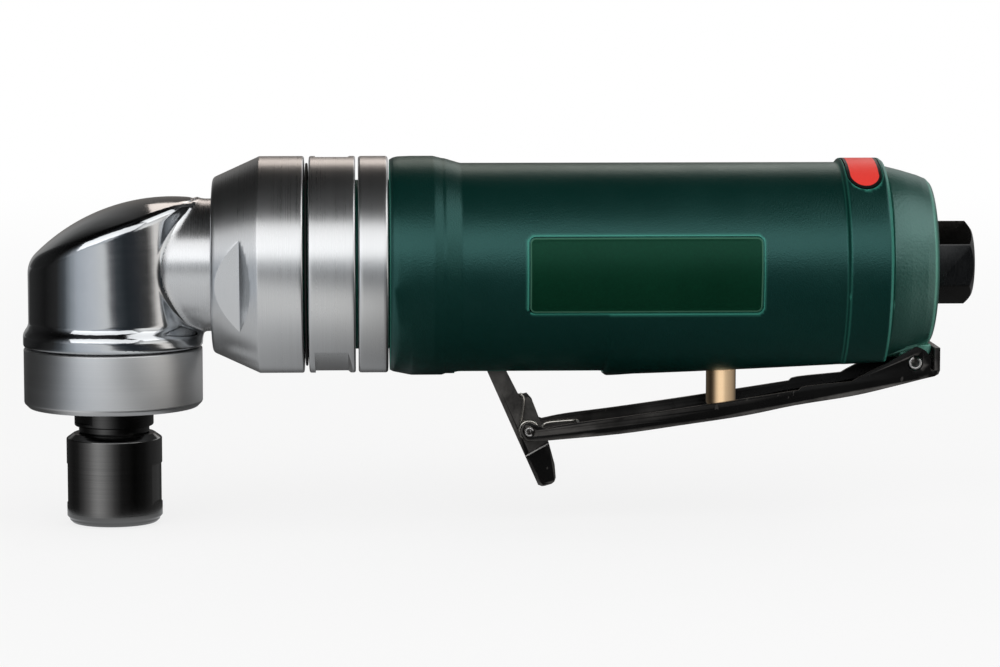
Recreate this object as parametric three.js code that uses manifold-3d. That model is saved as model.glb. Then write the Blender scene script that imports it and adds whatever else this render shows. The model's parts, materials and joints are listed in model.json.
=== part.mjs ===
// Right angle air die grinder, in millimetres.
// X runs back along the motor, Y across it and Z up; the sizes are written with the spindle axis
// at x = 0 and the motor axis at z = 0, and the whole group is centred on its own box at the end.
import * as THREE from "three";
import { mergeVertices } from "three/addons/utils/BufferGeometryUtils.js";
import Module from "manifold-3d";

const wasm = await Module();
wasm.setup();

// Gaps and cutter values that every piece shares.
const fit = 0.3;
const cutOver = 2;
const weldDistance = 1e-4;

// How many sides a round form has.
const largeSides = 36;
const mediumSides = 20;
const smallSides = 12;
const tinySides = 8;
const bearingSides = 14;

// Bevel gears: straight teeth whose cones meet where the two axes cross.
const gearModule = 0.8333;
const pinionTeeth = 12;
const gearTeeth = 21;
const gearFaceWidth = 4;
const addendumShare = 0.8;
const dedendumShare = 1.1;
const toothTipShare = 0.2;
const toothRootShare = 0.52;
const gearBackHeight = 2.6;
const pitchRadiusOf = (teeth) => (gearModule * teeth) / 2;

// Ball bearings: their sizes and the shares that their inner forms follow.
const ballShare = 0.27;
const raceShoulderShare = 0.5;
const cageShare = 0.28;
const cageWidthShare = 0.8;
const racePoints = 2;
const grooveGap = 0.75;
const pinionBearingRadius = 11;
const pinionBearingWidth = 7;
const pinionBearingFront = 15.8;
const pinionBalls = 6;
const rotorBearingRadius = 9.5;
const rotorBearingWidth = 6;
const rotorBalls = 6;
const spindleBearingRadius = 14;
const spindleBearingWidth = 8;
const spindleBearingSeat = 6;
const spindleBearingDrop = 3.5;
const spindleBalls = 8;

// Head: a round body under a domed crown, with a neck that runs back into the coupling.
const headSeam = -17.7;
const headWall = 1.8;
const headFlangeLip = 1.2;
const headFlangeHeight = 3.5;
const headFlareHeight = 1.6;
const headFlangeEdge = 0.5;
const crownRadius = 42;
const crownAhead = 13;
const crownTop = 14.96;
const neckWall = 3.2;
const neckFlangeLength = 4.1;
const neckSpigotLength = 4.6;
const neckSpigotWall = 2.4;
const gearRoomGap = 2.75;
const gearRoomTop = 1.5;
const gearRoomConeTop = 4.3;
const pinionRoomFront = 4.4;
const pinionRoomFrontRadius = 4.3;
const pinionRoomFull = 9.6;
const pinionRoomRadius = 7.4;

// Bearing cap: the silver ring screwed into the bottom of the head.
const capHeight = 13.3;
const capInset = 0.1;
const capEdge = 1;
const capSpigotWall = 2;
const capCollarGap = 0.55;

// Seats that the head, the cap and the spindle bearing share.
const spindleBearingBottom = headSeam - spindleBearingDrop;
const spindleBearingTop = spindleBearingBottom + spindleBearingWidth;
const bearingPocket = spindleBearingRadius + fit;
const capSpigotRadius = bearingPocket + capSpigotWall;
const capSpigotTop = spindleBearingTop + fit;
const headRadius = capSpigotRadius + fit + headWall;
const headFlangeRadius = headRadius + headFlangeLip;
const headFlangeTop = headSeam + headFlangeHeight;
const capRadius = headFlangeRadius - capInset;
const capBottom = headSeam - capHeight;
const neckRadius = pinionBearingRadius + fit + neckWall;

// Collet: the radii around the shank that it holds.
const shankRadius = 3.175;
const colletWall = 2.125;
const colletNoseWall = 1.125;
const colletFlangeLip = 1;
const colletFlangeHeight = 2.5;
const colletNoseHeight = 2;
const colletInset = 0.6;
const colletTopDrop = 1.2;
const colletSlitWidth = 0.8;
const colletSlitDrop = 4;
const colletSlits = 4;
const colletShankRadius = shankRadius + colletWall;
const colletNoseRadius = shankRadius + colletNoseWall;
const colletBore = colletShankRadius + fit;
const colletFlangeRadius = colletBore + colletFlangeLip;

// Spindle, from the bush at its top to the thread for the collet nut.
const spindleNoseRadius = 3.4;
const spindleNoseTop = 8;
const spindleGearSeatRadius = 4.6;
const spindleGearSeatTop = -2.5;
const spindleShoulderRadius = 6.7;
const spindleThreadWall = 1.8;
const spindleNeckLip = 0.3;
const spindleNeckHeight = 1.3;
const spindleCollarLip = 0.95;
const spindleCollarProud = 4.2;
const bushWall = 1.8;
const bushBottom = 4.6;
const bushTop = spindleNoseTop + fit;
const spindleThreadRadius = colletBore + spindleThreadWall;
const spindleNeckRadius = spindleThreadRadius + spindleNeckLip;
const spindleCollarRadius = spindleNeckRadius + spindleCollarLip;
const spindleCollarBottom = capBottom - spindleCollarProud;
const spindleNeckBottom = spindleCollarBottom - spindleNeckHeight;

// Collet nut on that thread.
const nutWall = 2.75;
const nutLength = 19.7;
const nutTopInset = 1.55;
const nutTopEdge = 1.1;
const nutBottomEdge = 1.2;
const nutMouthGap = 0.4;
const nutMouthDepth = 5.9;
const nutFlatDepth = 0.95;
const nutFlatTopDrop = 6.6;
const nutFlatBottomRise = 4.3;
const nutFlatAngle = 10;
const nutRadius = spindleThreadRadius + fit + nutWall;
const nutTop = spindleNeckBottom - fit;
const nutBottom = nutTop - nutLength;
const spindleBottom = nutBottom + nutMouthDepth;
const colletTop = nutTop - colletTopDrop;
const colletBottom = nutBottom + colletInset;

// Pinion on the motor axis.
const pinionHubRadius = 5.6;
const pinionSeatRadius = 4;
const pinionSocketRadius = 2.9;
const pinionSocketDepth = 9.5;
const pinionTail = 10.7;
const pinionRear = pinionBearingFront + pinionBearingWidth + pinionTail;

// Coupling nut, from its front rim to the lip that draws the neck's flange back.
const couplingFront = 22;
const couplingLength = 19.9;
const couplingRimWidth = 4.55;
const couplingFrontEdge = 0.75;
const couplingConeLength = 10.2;
const couplingLip = 5.1;
const couplingFlatDepth = 4.22;
const couplingFlatLength = 6.3;
const couplingFlatRunout = 4.1;
const couplingFlatTilt = 9;
const couplingFrontRadius = neckRadius + couplingRimWidth;
const couplingRear = couplingFront + couplingLength;
const neckFlangeFront = couplingFront + couplingLip + fit;
const neckFlangeRear = neckFlangeFront + neckFlangeLength;
const neckSpigotRear = neckFlangeRear + neckSpigotLength;

// Lock ring, adapter ring and the seal in the gap ahead of them.
const ringRise = 1.57;
const ringEdge = 0.35;
const sealGap = 1.1;
const sealInset = 0.6;
const sealDepth = 1.52;
const sealThickness = 0.5;
const lockRingLength = 10.1;
const lockRingFlatDepth = 1.92;
const lockRingFlatInset = 1.3;
const lockRingFlatEnd = 1.65;
const lockRingFlatTilt = 18.5;
const adapterGap = 0.6;
const adapterLength = 6.5;
const lockRingFront = couplingRear + sealGap;
const lockRingRear = lockRingFront + lockRingLength;
const adapterFront = lockRingRear + adapterGap;
const adapterRear = adapterFront + adapterLength;

// Motor: cylinder, end plates, rotor and vanes, each in the one outside it.
const rotorRadius = 10.5;
const rotorShaftRadius = 3.5;
const rotorNoseRadius = 2.6;
const rotorNoseInPinion = 8.3;
const vaneCount = 4;
const vaneThickness = 1.5;
const vaneRoot = 4.6;
const vaneProud = 0.1;
const cylinderOffset = 1.3;
const cylinderWall = 1.4;
const cylinderLength = 59.6;
const cylinderPortWidth = 2.4;
const cylinderPortLength = 34;
const cylinderPorts = 3;
const cylinderPortPitch = 22;
const endPlateLength = 8;
const plateLip = 1.7;
const plateShaftGap = 1;
const dowelRadius = 1.1;
const dowelInCylinder = 5;
const cylinderBoreRadius = rotorRadius + cylinderOffset + fit;
const plateRadius = cylinderBoreRadius + cylinderOffset + cylinderWall;
const dowelDown = (plateRadius + cylinderBoreRadius - cylinderOffset) / 2;
const motorBoreRadius = plateRadius + fit;
const frontPlateFront = neckSpigotRear + fit;
const frontPlateRear = frontPlateFront + endPlateLength;
const cylinderFront = frontPlateRear + fit;
const cylinderRear = cylinderFront + cylinderLength;
const rearPlateFront = cylinderRear + fit;
const rearPlateRear = rearPlateFront + endPlateLength;
const motorBoreRear = rearPlateRear + fit;
const rotorNoseFront = pinionRear - rotorNoseInPinion;

// Motor housing: the radius of its barrel, and how far each part of it stands out from that.
const barrelRadius = 22.15;
const noseWall = 3.4;
const collarFrontInset = 0.87;
const collarFrontKeelInset = 0.62;
const collarKeelProud = 0.58;
const collarEdgeLength = 1.8;
const collarKeelLength = 4.7;
const collarLength = 9.6;
const collarStepLength = 2;
const collarStepProud = 1.05;
const collarStepRun = 0.4;
const collarConeLength = 3.9;
const barrelKeelProud = 1.85;
const keelStepAhead = 5.7;
const keelStepRun = 0.6;
const keelStepProud = 2.45;
const undersideRearRise = 1.45;
const rearBlockLength = 46.3;
const bandProud = 0.95;
const bandRun = 0.6;
const bandEdge = 0.6;
const bandLength = 9.2;
const shaftRoomRadius = 5;
const shaftRoomDepth = 1.6;
const exhaustBoreRadius = 2.6;
const exhaustBoreUp = 6;
const exhaustBoreInset = 3.4;
const airBoreRadius = 5;
const ringRadius = barrelRadius + ringRise;
const noseRadius = motorBoreRadius + noseWall;
const noseFront = neckFlangeRear + fit;
const sealInnerRadius = noseRadius + sealInset;
const sealOuterRadius = ringRadius - sealDepth;
const collarFront = adapterRear + fit;
const collarEnd = collarFront + collarLength;
const collarStep = collarEnd + collarStepLength;
const collarKeel = ringRadius + collarKeelProud;
const barrelFront = collarStep + collarConeLength;
const barrelKeel = barrelRadius + barrelKeelProud;
const keelStep = motorBoreRear - keelStepAhead;
const keelStepDepth = barrelRadius + keelStepProud;
const bandRadius = barrelRadius + bandProud;
const bandFront = motorBoreRear + rearBlockLength;
const bandRear = bandFront + bandLength;
const exhaustBoreAside = motorBoreRadius + fit;
const exhaustBoreFront = rearPlateFront + exhaustBoreInset;

// Valve under the air bore: stem, bushing, plug and spring.
const valveBehindMotor = 20.7;
const stemRadius = 3.3;
const stemProud = 6.9;
const stemEdge = 0.8;
const valveBushWall = 2.4;
const valveBushTop = -6;
const valveBushInset = 4.6;
const valveBoreTop = 13;
const valveORingThickness = 1.2;
const valveORingInset = 0.5;
const plugRadius = 5.2;
const plugHeight = 3.2;
const plugNippleRadius = 2.4;
const plugNippleHeight = 2.5;
const valveSpringRadius = 3.9;
const valveSpringWire = 0.45;
const valveSpringTurns = 6;
const valveAhead = motorBoreRear + valveBehindMotor;
const stemBottom = -keelStepDepth - stemProud;
const valveBushRadius = stemRadius + fit + valveBushWall;
const valveBushBottom = -keelStepDepth + valveBushInset;

// Air inlet bushing with its hexagon.
const hexAcross = 16;
const hexLength = 8.8;
const hexGap = 0.6;
const hexChamfer = 1.3;
const inletShankInset = 0.8;
const inletShankWall = 1.6;
const inletShankBehindValve = 16.4;
const inletBoreDepth = 16.4;
const inletPassageRadius = 4.2;
const inletSealWidth = 1.6;
const inletSealThickness = 1.2;
const screenThickness = 0.8;
const screenHoleRadius = 0.9;
const screenHoleCircle = 3.1;
const screenHoles = 6;
const inletShankRadius = hexAcross / 2 - inletShankInset;
const inletShankFront = valveAhead + inletShankBehindValve;
const inletBoreRadius = inletShankRadius - inletShankWall;
const inletSealRadius = inletShankRadius + inletSealWidth;

// Exhaust cap with its lug for the lever: its profile as lengths behind its front and radii
// inside the barrel's.
const exhaustLength = 10.3;
const exhaustFrontInset = 0.75;
const exhaustSecondBehind = 3.96;
const exhaustSecondInset = 1.75;
const exhaustThirdBehind = 7.65;
const exhaustThirdInset = 2.85;
const exhaustRimBehind = 9.5;
const exhaustRimInset = 3.6;
const exhaustRearInset = 4.45;
const exhaustWall = 2.5;
const exhaustFloor = 2.8;
const exhaustHubWall = 0.8;
const exhaustHoles = 8;
const exhaustHoleRadius = 1.5;
const mufflerInset = 1.3;
const lugSideGap = 0.9;
const lugAhead = 4.06;
const lugSink = 1.9;
const lugRadius = 2.3;
const pivotBehind = 6.56;
const pivotBelow = 1.96;
const exhaustFront = bandRear + fit;
const exhaustRear = exhaustFront + exhaustLength;
const exhaustFrontRadius = barrelRadius - exhaustFrontInset;
const exhaustThirdRadius = barrelRadius - exhaustThirdInset;
const exhaustHubRadius = inletSealRadius + exhaustHubWall;
const exhaustInnerRadius = exhaustThirdRadius - exhaustWall;
const exhaustHoleCircle = (exhaustHubRadius + exhaustInnerRadius) / 2;
const hexFront = exhaustRear + hexGap;
const hexRear = hexFront + hexLength;
const inletBoreFront = hexRear - inletBoreDepth;
const pivotAhead = exhaustFront + pivotBehind;
const pivotUp = -exhaustThirdRadius - pivotBelow;

// Lock spring: a coil on the lock pin with one leg up the arm and one along the lever.
const lockSpringWire = 0.32;
const lockSpringRadius = 2.05;
const lockSpringTurns = 2;
const lockSpringTurnedOn = 110;
const lockSpringPitch = 1.06;
const lockSpringArmLeg = 8;
const lockSpringLeverLeg = 10.6;
const lockSpringLeverRise = 2.35;
const lockSpringHook = 1.9;
const curlSteps = 8;
const wireSides = 5;
const leastCoilGap = 0.4;
// Shares of the arm leg's height and of the coil's radius ahead of the pin.
const armLegShares = [
  [1, 0.9],
  [0.82, 0.52],
  [0.23, 0.78],
];
// Shares of the lever leg's length behind the pin and of its rise above it.
const leverLegShares = [
  [0.24, -0.45],
  [0.42, 0.45],
  [0.93, 0.95],
];
const lockSpringSweep = lockSpringTurns + lockSpringTurnedOn / 360;
const lockSpringWidth = 2 * lockSpringWire + lockSpringPitch * lockSpringSweep;

// Lock lever: a folded arm on the lock pin, standing against the housing.
const lockTilt = 23.95;
const lockPinInset = 3.05;
const lockHalfWidth = 4.6;
const lockSheet = 1;
const lockArmLength = 15.6;
const lockTipLength = 13.2;
const lockDepth = 6.4;
const lockPinRadius = 1;
const lockPinWall = 0.35;
const lockPinProud = 0.3;
// Shares of the arm's length above the pin and of the depth, then of the tip's length below it.
const lockArmShares = [
  [1, 0.56],
  [0.856, 0.586],
  [0.445, 0.64],
  [0.42, 0.78],
  [0.408, 0.92],
  [0.31, 1],
  [0, 0.96],
];
const lockTipShares = [
  [0.34, 0.93],
  [0.72, 0.81],
  [0.96, 0.625],
  [1, 0.37],
  [0.985, 0],
];

// Throttle lever: a channel of sheet on the pivot pin, carrying the lock lever at its front.
const leverReach = 84.43;
const leverDrop = 14.77;
const leverSheet = 1.2;
const leverFrontRadius = 1.95;
const leverEarRadius = 3.45;
const leverHeelGap = 0.5;
const leverHeelTop = 3.3;
const pivotPinRadius = 1.4;
const pivotPinWall = 0.45;
const pivotPinProud = 0.15;
const webSlotRear = 9;
// Shares of the reach ahead of the pivot and of the drop below it, from heel to front.
const leverBottomShares = [
  [-0.047, 0.2],
  [0.053, 0.344],
  [0.162, 0.487],
  [0.312, 0.623],
  [0.444, 0.774],
  [0.61, 0.913],
  [0.766, 1.036],
  [0.95, 1.128],
];
const leverTopShares = [
  [0.957, 0.955],
  [0.895, 0.885],
  [0.766, 0.792],
  [0.61, 0.668],
  [0.44, 0.522],
  [0.302, 0.402],
  [0.281, 0.342],
  [0.164, 0.276],
  [0.143, 0.207],
  [0.08, 0.023],
];
const leverInner = lockHalfWidth + fit + lockSpringWidth + fit;
const leverHalfWidth = leverInner + leverSheet;
const lugHalfWidth = leverInner - lugSideGap;
const lockPinAhead = pivotAhead - leverReach;
const lockPinUp = pivotUp - leverDrop;

// Pocket in the underside that takes the folded lock arm.
const lockPocketSideGap = 1.9;
const lockPocketEndGap = 0.63;
const lockPocketDepth = 7.7;
const lockPocketFront = lockPinAhead - lockArmLength - lockPocketEndGap;
const lockPocketHalfWidth = lockHalfWidth + lockPocketSideGap;
const lockPocketCeiling = lockPocketDepth - barrelKeel;

// Name plate on the near side and the red label over the band.
const plateAhead = 14.45;
const plateLength = 49.85;
const plateTop = 7.3;
const plateBottom = -8.8;
const plateCorner = 1.2;
const plateThickness = 0.35;
const plateProud = 0.1;
const labelHalfLength = 15.2;
const labelHalfWidth = 3.7;
const labelInset = 0.85;
const labelThickness = 0.3;
const plateFront = barrelFront + plateAhead;
const plateRear = plateFront + plateLength;

// Solids from three.js geometry.

function solidFrom(geometry) {
  const bare = geometry.index ? geometry.toNonIndexed() : geometry.clone();
  bare.deleteAttribute("normal");
  bare.deleteAttribute("uv");
  const merged = mergeVertices(bare, weldDistance);
  const corners = merged.index.array;
  const faces = [];
  for (let i = 0; i < corners.length; i += 3) {
    const [a, b, c] = corners.slice(i, i + 3);
    if (a !== b && b !== c && c !== a) faces.push(a, b, c);
  }
  const make = (triVerts) =>
    new wasm.Manifold(
      new wasm.Mesh({
        numProp: 3,
        vertProperties: merged.attributes.position.array,
        triVerts: new Uint32Array(triVerts),
      }),
    );
  const solid = make(faces);
  return solid.volume() > 0 ? solid : make(faces.reverse());
}

function geometryFrom(solid) {
  const { vertProperties, triVerts } = solid.getMesh();
  const geometry = new THREE.BufferGeometry();
  geometry.setAttribute("position", new THREE.BufferAttribute(vertProperties, 3));
  geometry.setIndex(new THREE.BufferAttribute(triVerts, 1));
  const flat = geometry.toNonIndexed();
  flat.computeVertexNormals();
  return flat;
}

const radians = THREE.MathUtils.degToRad;

// A profile is a list of [radius, height] that ends on the axis or closes on itself.
function latheAboutZ(profile, sides) {
  const points = profile.map(([radius, height]) => new THREE.Vector2(radius, height));
  const closed = profile[0][0] > 0 || profile.at(-1)[0] > 0;
  if (closed) points.push(points[0].clone());
  return new THREE.LatheGeometry(points, sides).rotateX(Math.PI / 2);
}

function aboutZ(profile, sides, x = 0, y = 0) {
  return solidFrom(latheAboutZ(profile, sides).translate(x, y, 0));
}

function aboutX(profile, sides, y = 0, z = 0) {
  return solidFrom(latheAboutZ(profile, sides).rotateY(Math.PI / 2).translate(0, y, z));
}

function aboutY(profile, sides, x, z) {
  return solidFrom(latheAboutZ(profile, sides).rotateX(-Math.PI / 2).translate(x, 0, z));
}

function rod(radius, from, to) {
  return [[0, from], [radius, from], [radius, to], [0, to]];
}

function ring(inner, outer, from, to) {
  return [[inner, from], [outer, from], [outer, to], [inner, to]];
}

function boxBetween(low, high) {
  const size = high.map((value, i) => value - low[i]);
  const middle = high.map((value, i) => (value + low[i]) / 2);
  return solidFrom(new THREE.BoxGeometry(...size).translate(...middle));
}

// An outline of [x, z] points carried across Y.
function acrossY(outline, low, high) {
  const shape = new THREE.Shape(outline.map(([x, z]) => new THREE.Vector2(x, z)));
  const geometry = new THREE.ExtrudeGeometry(shape, { depth: high - low, bevelEnabled: false });
  return solidFrom(geometry.rotateX(Math.PI / 2).translate(0, high, 0));
}

function arcPoints(x, z, radius, from, to, steps) {
  const points = [];
  for (let i = 0; i <= steps; i += 1) {
    const angle = radians(from + ((to - from) * i) / steps);
    points.push([x + radius * Math.cos(angle), z + radius * Math.sin(angle)]);
  }
  return points;
}

// A sheet of even thickness whose outer face follows the points, thickened to their left.
function sheetOutline(points, thickness) {
  const inner = points.map(([x, z], i) => {
    const [ax, az] = points[Math.max(i - 1, 0)];
    const [bx, bz] = points[Math.min(i + 1, points.length - 1)];
    const along = new THREE.Vector2(bx - ax, bz - az).normalize();
    return [x - along.y * thickness, z + along.x * thickness];
  });
  return [...points, ...inner.reverse()];
}

function joined(...solids) {
  return solids.reduce((whole, piece) => whole.add(piece));
}

function cut(solid, ...cutters) {
  return cutters.reduce((whole, cutter) => whole.subtract(cutter), solid);
}

// Round wire through the points of a path: a ring of corners at each point, closed at both ends.
function wireSolid(points, radius, sides) {
  const last = points.length - 1;
  const tangents = points.map((point, i) =>
    points[Math.min(i + 1, last)].clone().sub(points[Math.max(i - 1, 0)]).normalize(),
  );
  const normal = new THREE.Vector3(0, 1, 0).cross(tangents[0]);
  if (normal.length() < weldDistance) normal.set(1, 0, 0).cross(tangents[0]);
  const positions = [];
  const index = [];
  points.forEach((point, row) => {
    const tangent = tangents[row];
    normal.addScaledVector(tangent, -normal.dot(tangent)).normalize();
    const binormal = tangent.clone().cross(normal);
    for (let i = 0; i < sides; i += 1) {
      const angle = (2 * Math.PI * i) / sides;
      const corner = point
        .clone()
        .addScaledVector(normal, radius * Math.cos(angle))
        .addScaledVector(binormal, radius * Math.sin(angle));
      positions.push(...corner.toArray());
    }
  });
  positions.push(...points[0].toArray(), ...points[last].toArray());
  const front = points.length * sides;
  for (let i = 0; i < sides; i += 1) {
    const next = (i + 1) % sides;
    index.push(front, next, i, front + 1, last * sides + i, last * sides + next);
    for (let row = 0; row < last * sides; row += sides) {
      index.push(row + i, row + next, row + sides + i);
      index.push(row + next, row + sides + next, row + sides + i);
    }
  }
  const geometry = new THREE.BufferGeometry();
  geometry.setAttribute("position", new THREE.Float32BufferAttribute(positions, 3));
  geometry.setIndex(index);
  return solidFrom(geometry);
}

// The least gap between stretches of one wire that lie more than half a turn apart.
function leastGap(points, radius, apart) {
  let least = Infinity;
  points.forEach((a, i) =>
    points.slice(i + apart).forEach((b) => {
      least = Math.min(least, a.distanceTo(b) - 2 * radius);
    }),
  );
  return least;
}

// Pieces, each a mesh of its own.

const grinder = new THREE.Group();
grinder.name = "right_angle_die_grinder";

const finishes = {
  polishedMetal: { color: 0xc9ccd0, roughness: 0.16, metalness: 1 },
  satinSteel: { color: 0xb4b8bb, roughness: 0.34, metalness: 1 },
  blackSteel: { color: 0x16171a, roughness: 0.42, metalness: 0.6 },
  bareSteel: { color: 0x8d9195, roughness: 0.4, metalness: 1 },
  darkGreen: { color: 0x0b3a2e, roughness: 0.5, metalness: 0 },
  capGreen: { color: 0x1d4a3c, roughness: 0.5, metalness: 0 },
  plateGreen: { color: 0x06371f, roughness: 0.4, metalness: 0 },
  labelRed: { color: 0xd63a2e, roughness: 0.5, metalness: 0 },
  brass: { color: 0xc59a4c, roughness: 0.3, metalness: 1 },
  rubber: { color: 0x121212, roughness: 0.8, metalness: 0 },
  felt: { color: 0x8a8a80, roughness: 1, metalness: 0 },
  composite: { color: 0x6a4a2c, roughness: 0.7, metalness: 0 },
};

function place(name, solid, finish) {
  const mesh = new THREE.Mesh(
    geometryFrom(solid),
    new THREE.MeshStandardMaterial(finishes[finish]),
  );
  mesh.name = name;
  grinder.add(mesh);
}

function moved(solid, x = 0, y = 0, z = 0) {
  return solid.translate([x, y, z]);
}

// Ball bearing between a seat and a pocket, about the X axis of its own frame from zero up.
function bearingParts(seatRadius, outerRadius, width, balls) {
  const boreRadius = seatRadius + fit;
  const pitchRadius = (boreRadius + outerRadius) / 2;
  const ballRadius = (outerRadius - boreRadius) * ballShare;
  const shoulder = ballRadius * raceShoulderShare;
  const grooveRadius = ballRadius + grooveGap;
  const grooveAngle = THREE.MathUtils.radToDeg(Math.asin(shoulder / grooveRadius));
  const middle = width / 2;
  const groove = (from, to) =>
    arcPoints(pitchRadius, middle, grooveRadius, from, to, racePoints);
  const outer = [
    [outerRadius, 0],
    [outerRadius, width],
    [pitchRadius + shoulder, width],
    ...groove(90 - grooveAngle, grooveAngle - 90),
    [pitchRadius + shoulder, 0],
  ];
  const inner = [
    [boreRadius, 0],
    [pitchRadius - shoulder, 0],
    ...groove(270 - grooveAngle, 90 + grooveAngle),
    [pitchRadius - shoulder, width],
    [boreRadius, width],
  ];
  const cageHalf = ballRadius * cageShare;
  const cageWide = ballRadius * cageWidthShare;
  let cage = aboutX(
    ring(pitchRadius - cageHalf, pitchRadius + cageHalf, middle - cageWide, middle + cageWide),
    2 * balls,
  );
  for (let i = 0; i < balls; i += 1) {
    const angle = (2 * Math.PI * i) / balls;
    const ball = new THREE.IcosahedronGeometry(ballRadius);
    ball.translate(middle, pitchRadius * Math.cos(angle), pitchRadius * Math.sin(angle));
    cage = cage.add(solidFrom(ball));
  }
  return { outer: aboutX(outer, bearingSides), inner: aboutX(inner, bearingSides), cage };
}

function placeBearing(prefix, parts, move) {
  place(`${prefix}_bearing_outer`, move(parts.outer), "bareSteel");
  place(`${prefix}_bearing_inner`, move(parts.inner), "bareSteel");
  place(`${prefix}_bearing_balls`, move(parts.cage), "satinSteel");
}

// Straight bevel gear about +Z with its cone's point at the origin, teeth at positive heights.
const coneDistance = Math.hypot(pitchRadiusOf(pinionTeeth), pitchRadiusOf(gearTeeth));
const innerEndShare = 1 - gearFaceWidth / coneDistance;

// The outer end of the teeth, as points on the back cone: up one flank and down the other.
function toothLoop(teeth, mateTeeth, phase) {
  const radius = pitchRadiusOf(teeth);
  const height = pitchRadiusOf(mateTeeth);
  const pitch = Math.PI * gearModule;
  const corner = (middle, rise, widthShare) => {
    const around = radius + (rise * height) / coneDistance;
    const angle = middle + (pitch * widthShare) / 2 / radius;
    const up = height - (rise * radius) / coneDistance;
    return new THREE.Vector3(around * Math.cos(angle), around * Math.sin(angle), up);
  };
  const root = -dedendumShare * gearModule;
  const tip = addendumShare * gearModule;
  return Array.from({ length: teeth }, (_, i) => {
    const middle = (2 * Math.PI * (i + phase)) / teeth;
    return [
      corner(middle, root, -toothRootShare),
      corner(middle, tip, -toothTipShare),
      corner(middle, tip, toothTipShare),
      corner(middle, root, toothRootShare),
    ];
  }).flat();
}

function bevelGear(teeth, mateTeeth, phase) {
  const drop = dedendumShare * gearModule;
  const rootRadius = pitchRadiusOf(teeth) - (drop * pitchRadiusOf(mateTeeth)) / coneDistance;
  const rootHeight = pitchRadiusOf(mateTeeth) + (drop * pitchRadiusOf(teeth)) / coneDistance;
  const back = rootHeight + gearBackHeight;
  const outer = toothLoop(teeth, mateTeeth, phase);
  const inner = outer.map((point) => point.clone().multiplyScalar(innerEndShare));
  const rear = outer.map((point) => {
    const flat = new THREE.Vector3(point.x, point.y, 0).setLength(rootRadius);
    return flat.setZ(back);
  });
  const points = [...inner, ...outer, ...rear];
  points.push(new THREE.Vector3(0, 0, inner[0].z), new THREE.Vector3(0, 0, back));
  const count = outer.length;
  const index = [];
  for (let i = 0; i < count; i += 1) {
    const next = (i + 1) % count;
    index.push(points.length - 2, next, i, points.length - 1, 2 * count + i, 2 * count + next);
    [0, count].forEach((row) => {
      index.push(row + i, row + next, row + count + i);
      index.push(row + next, row + count + next, row + count + i);
    });
  }
  const geometry = new THREE.BufferGeometry().setFromPoints(points);
  geometry.setIndex(index);
  return { gear: solidFrom(geometry), back };
}

// Head casting.
const motorSpigotRadius = motorBoreRadius - fit;
const neckFlangeRadius = noseRadius;
const gearRoomRadius = pitchRadiusOf(gearTeeth) + gearRoomGap;
const capTop = headSeam - fit;
const bushOuter = spindleNoseRadius + fit + bushWall;

function angleHousing() {
  const body = aboutZ(
    [
      [0, headSeam],
      [headFlangeRadius - headFlangeEdge, headSeam],
      [headFlangeRadius, headSeam + headFlangeEdge],
      [headFlangeRadius, headFlangeTop],
      [headRadius, headFlangeTop + headFlareHeight],
      [headRadius, crownTop],
      [0, crownTop],
    ],
    largeSides,
  );
  const crown = solidFrom(
    new THREE.SphereGeometry(crownRadius, largeSides, mediumSides)
      .rotateX(Math.PI / 2)
      .translate(crownAhead, 0, crownTop - crownRadius),
  );
  const neck = aboutX(
    [
      [0, 0],
      [neckRadius, 0],
      [neckRadius, neckFlangeFront],
      [neckFlangeRadius, neckFlangeFront],
      [neckFlangeRadius, neckFlangeRear],
      [motorSpigotRadius, neckFlangeRear],
      [motorSpigotRadius, neckSpigotRear],
      [0, neckSpigotRear],
    ],
    largeSides,
  );
  const capThread = capSpigotRadius + fit;
  const capThreadTop = capSpigotTop + fit;
  const spindleRoom = aboutZ(
    [
      [0, headSeam - cutOver],
      [capThread, headSeam - cutOver],
      [capThread, capThreadTop],
      [gearRoomRadius, capThreadTop],
      [gearRoomRadius, gearRoomTop],
      [bushOuter + fit, gearRoomConeTop],
      [bushOuter + fit, bushTop + fit],
      [0, bushTop + fit],
    ],
    mediumSides,
  );
  const bearingBore = pinionBearingRadius + fit;
  const bearingFace = pinionBearingFront - fit;
  const pinionRoom = aboutX(
    [
      [0, pinionRoomFront],
      [pinionRoomFrontRadius, pinionRoomFront],
      [pinionRoomRadius, pinionRoomFull],
      [pinionRoomRadius, bearingFace],
      [bearingBore, bearingFace],
      [bearingBore, pinionBearingFront + pinionBearingWidth + fit],
      [motorSpigotRadius - neckSpigotWall, neckFlangeFront],
      [motorSpigotRadius - neckSpigotWall, neckSpigotRear + cutOver],
      [0, neckSpigotRear + cutOver],
    ],
    mediumSides,
  );
  return cut(joined(body.intersect(crown), neck), spindleRoom, pinionRoom);
}

place("angle_housing", angleHousing(), "polishedMetal");

place(
  "bearing_cap",
  aboutZ(
    [
      [spindleCollarRadius + capCollarGap, capBottom],
      [capRadius - capEdge, capBottom],
      [capRadius, capBottom + capEdge],
      [capRadius, capTop],
      [capSpigotRadius, capTop],
      [capSpigotRadius, capSpigotTop],
      [bearingPocket, capSpigotTop],
      [bearingPocket, spindleBearingBottom - fit],
      [spindleCollarRadius + capCollarGap, spindleBearingBottom - fit],
    ],
    largeSides,
  ),
  "satinSteel",
);

// Spindle, gear and collet, about the Z axis.
const drivenGear = bevelGear(gearTeeth, pinionTeeth, 0);
const spindleShoulderTop = -drivenGear.back - fit;

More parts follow.
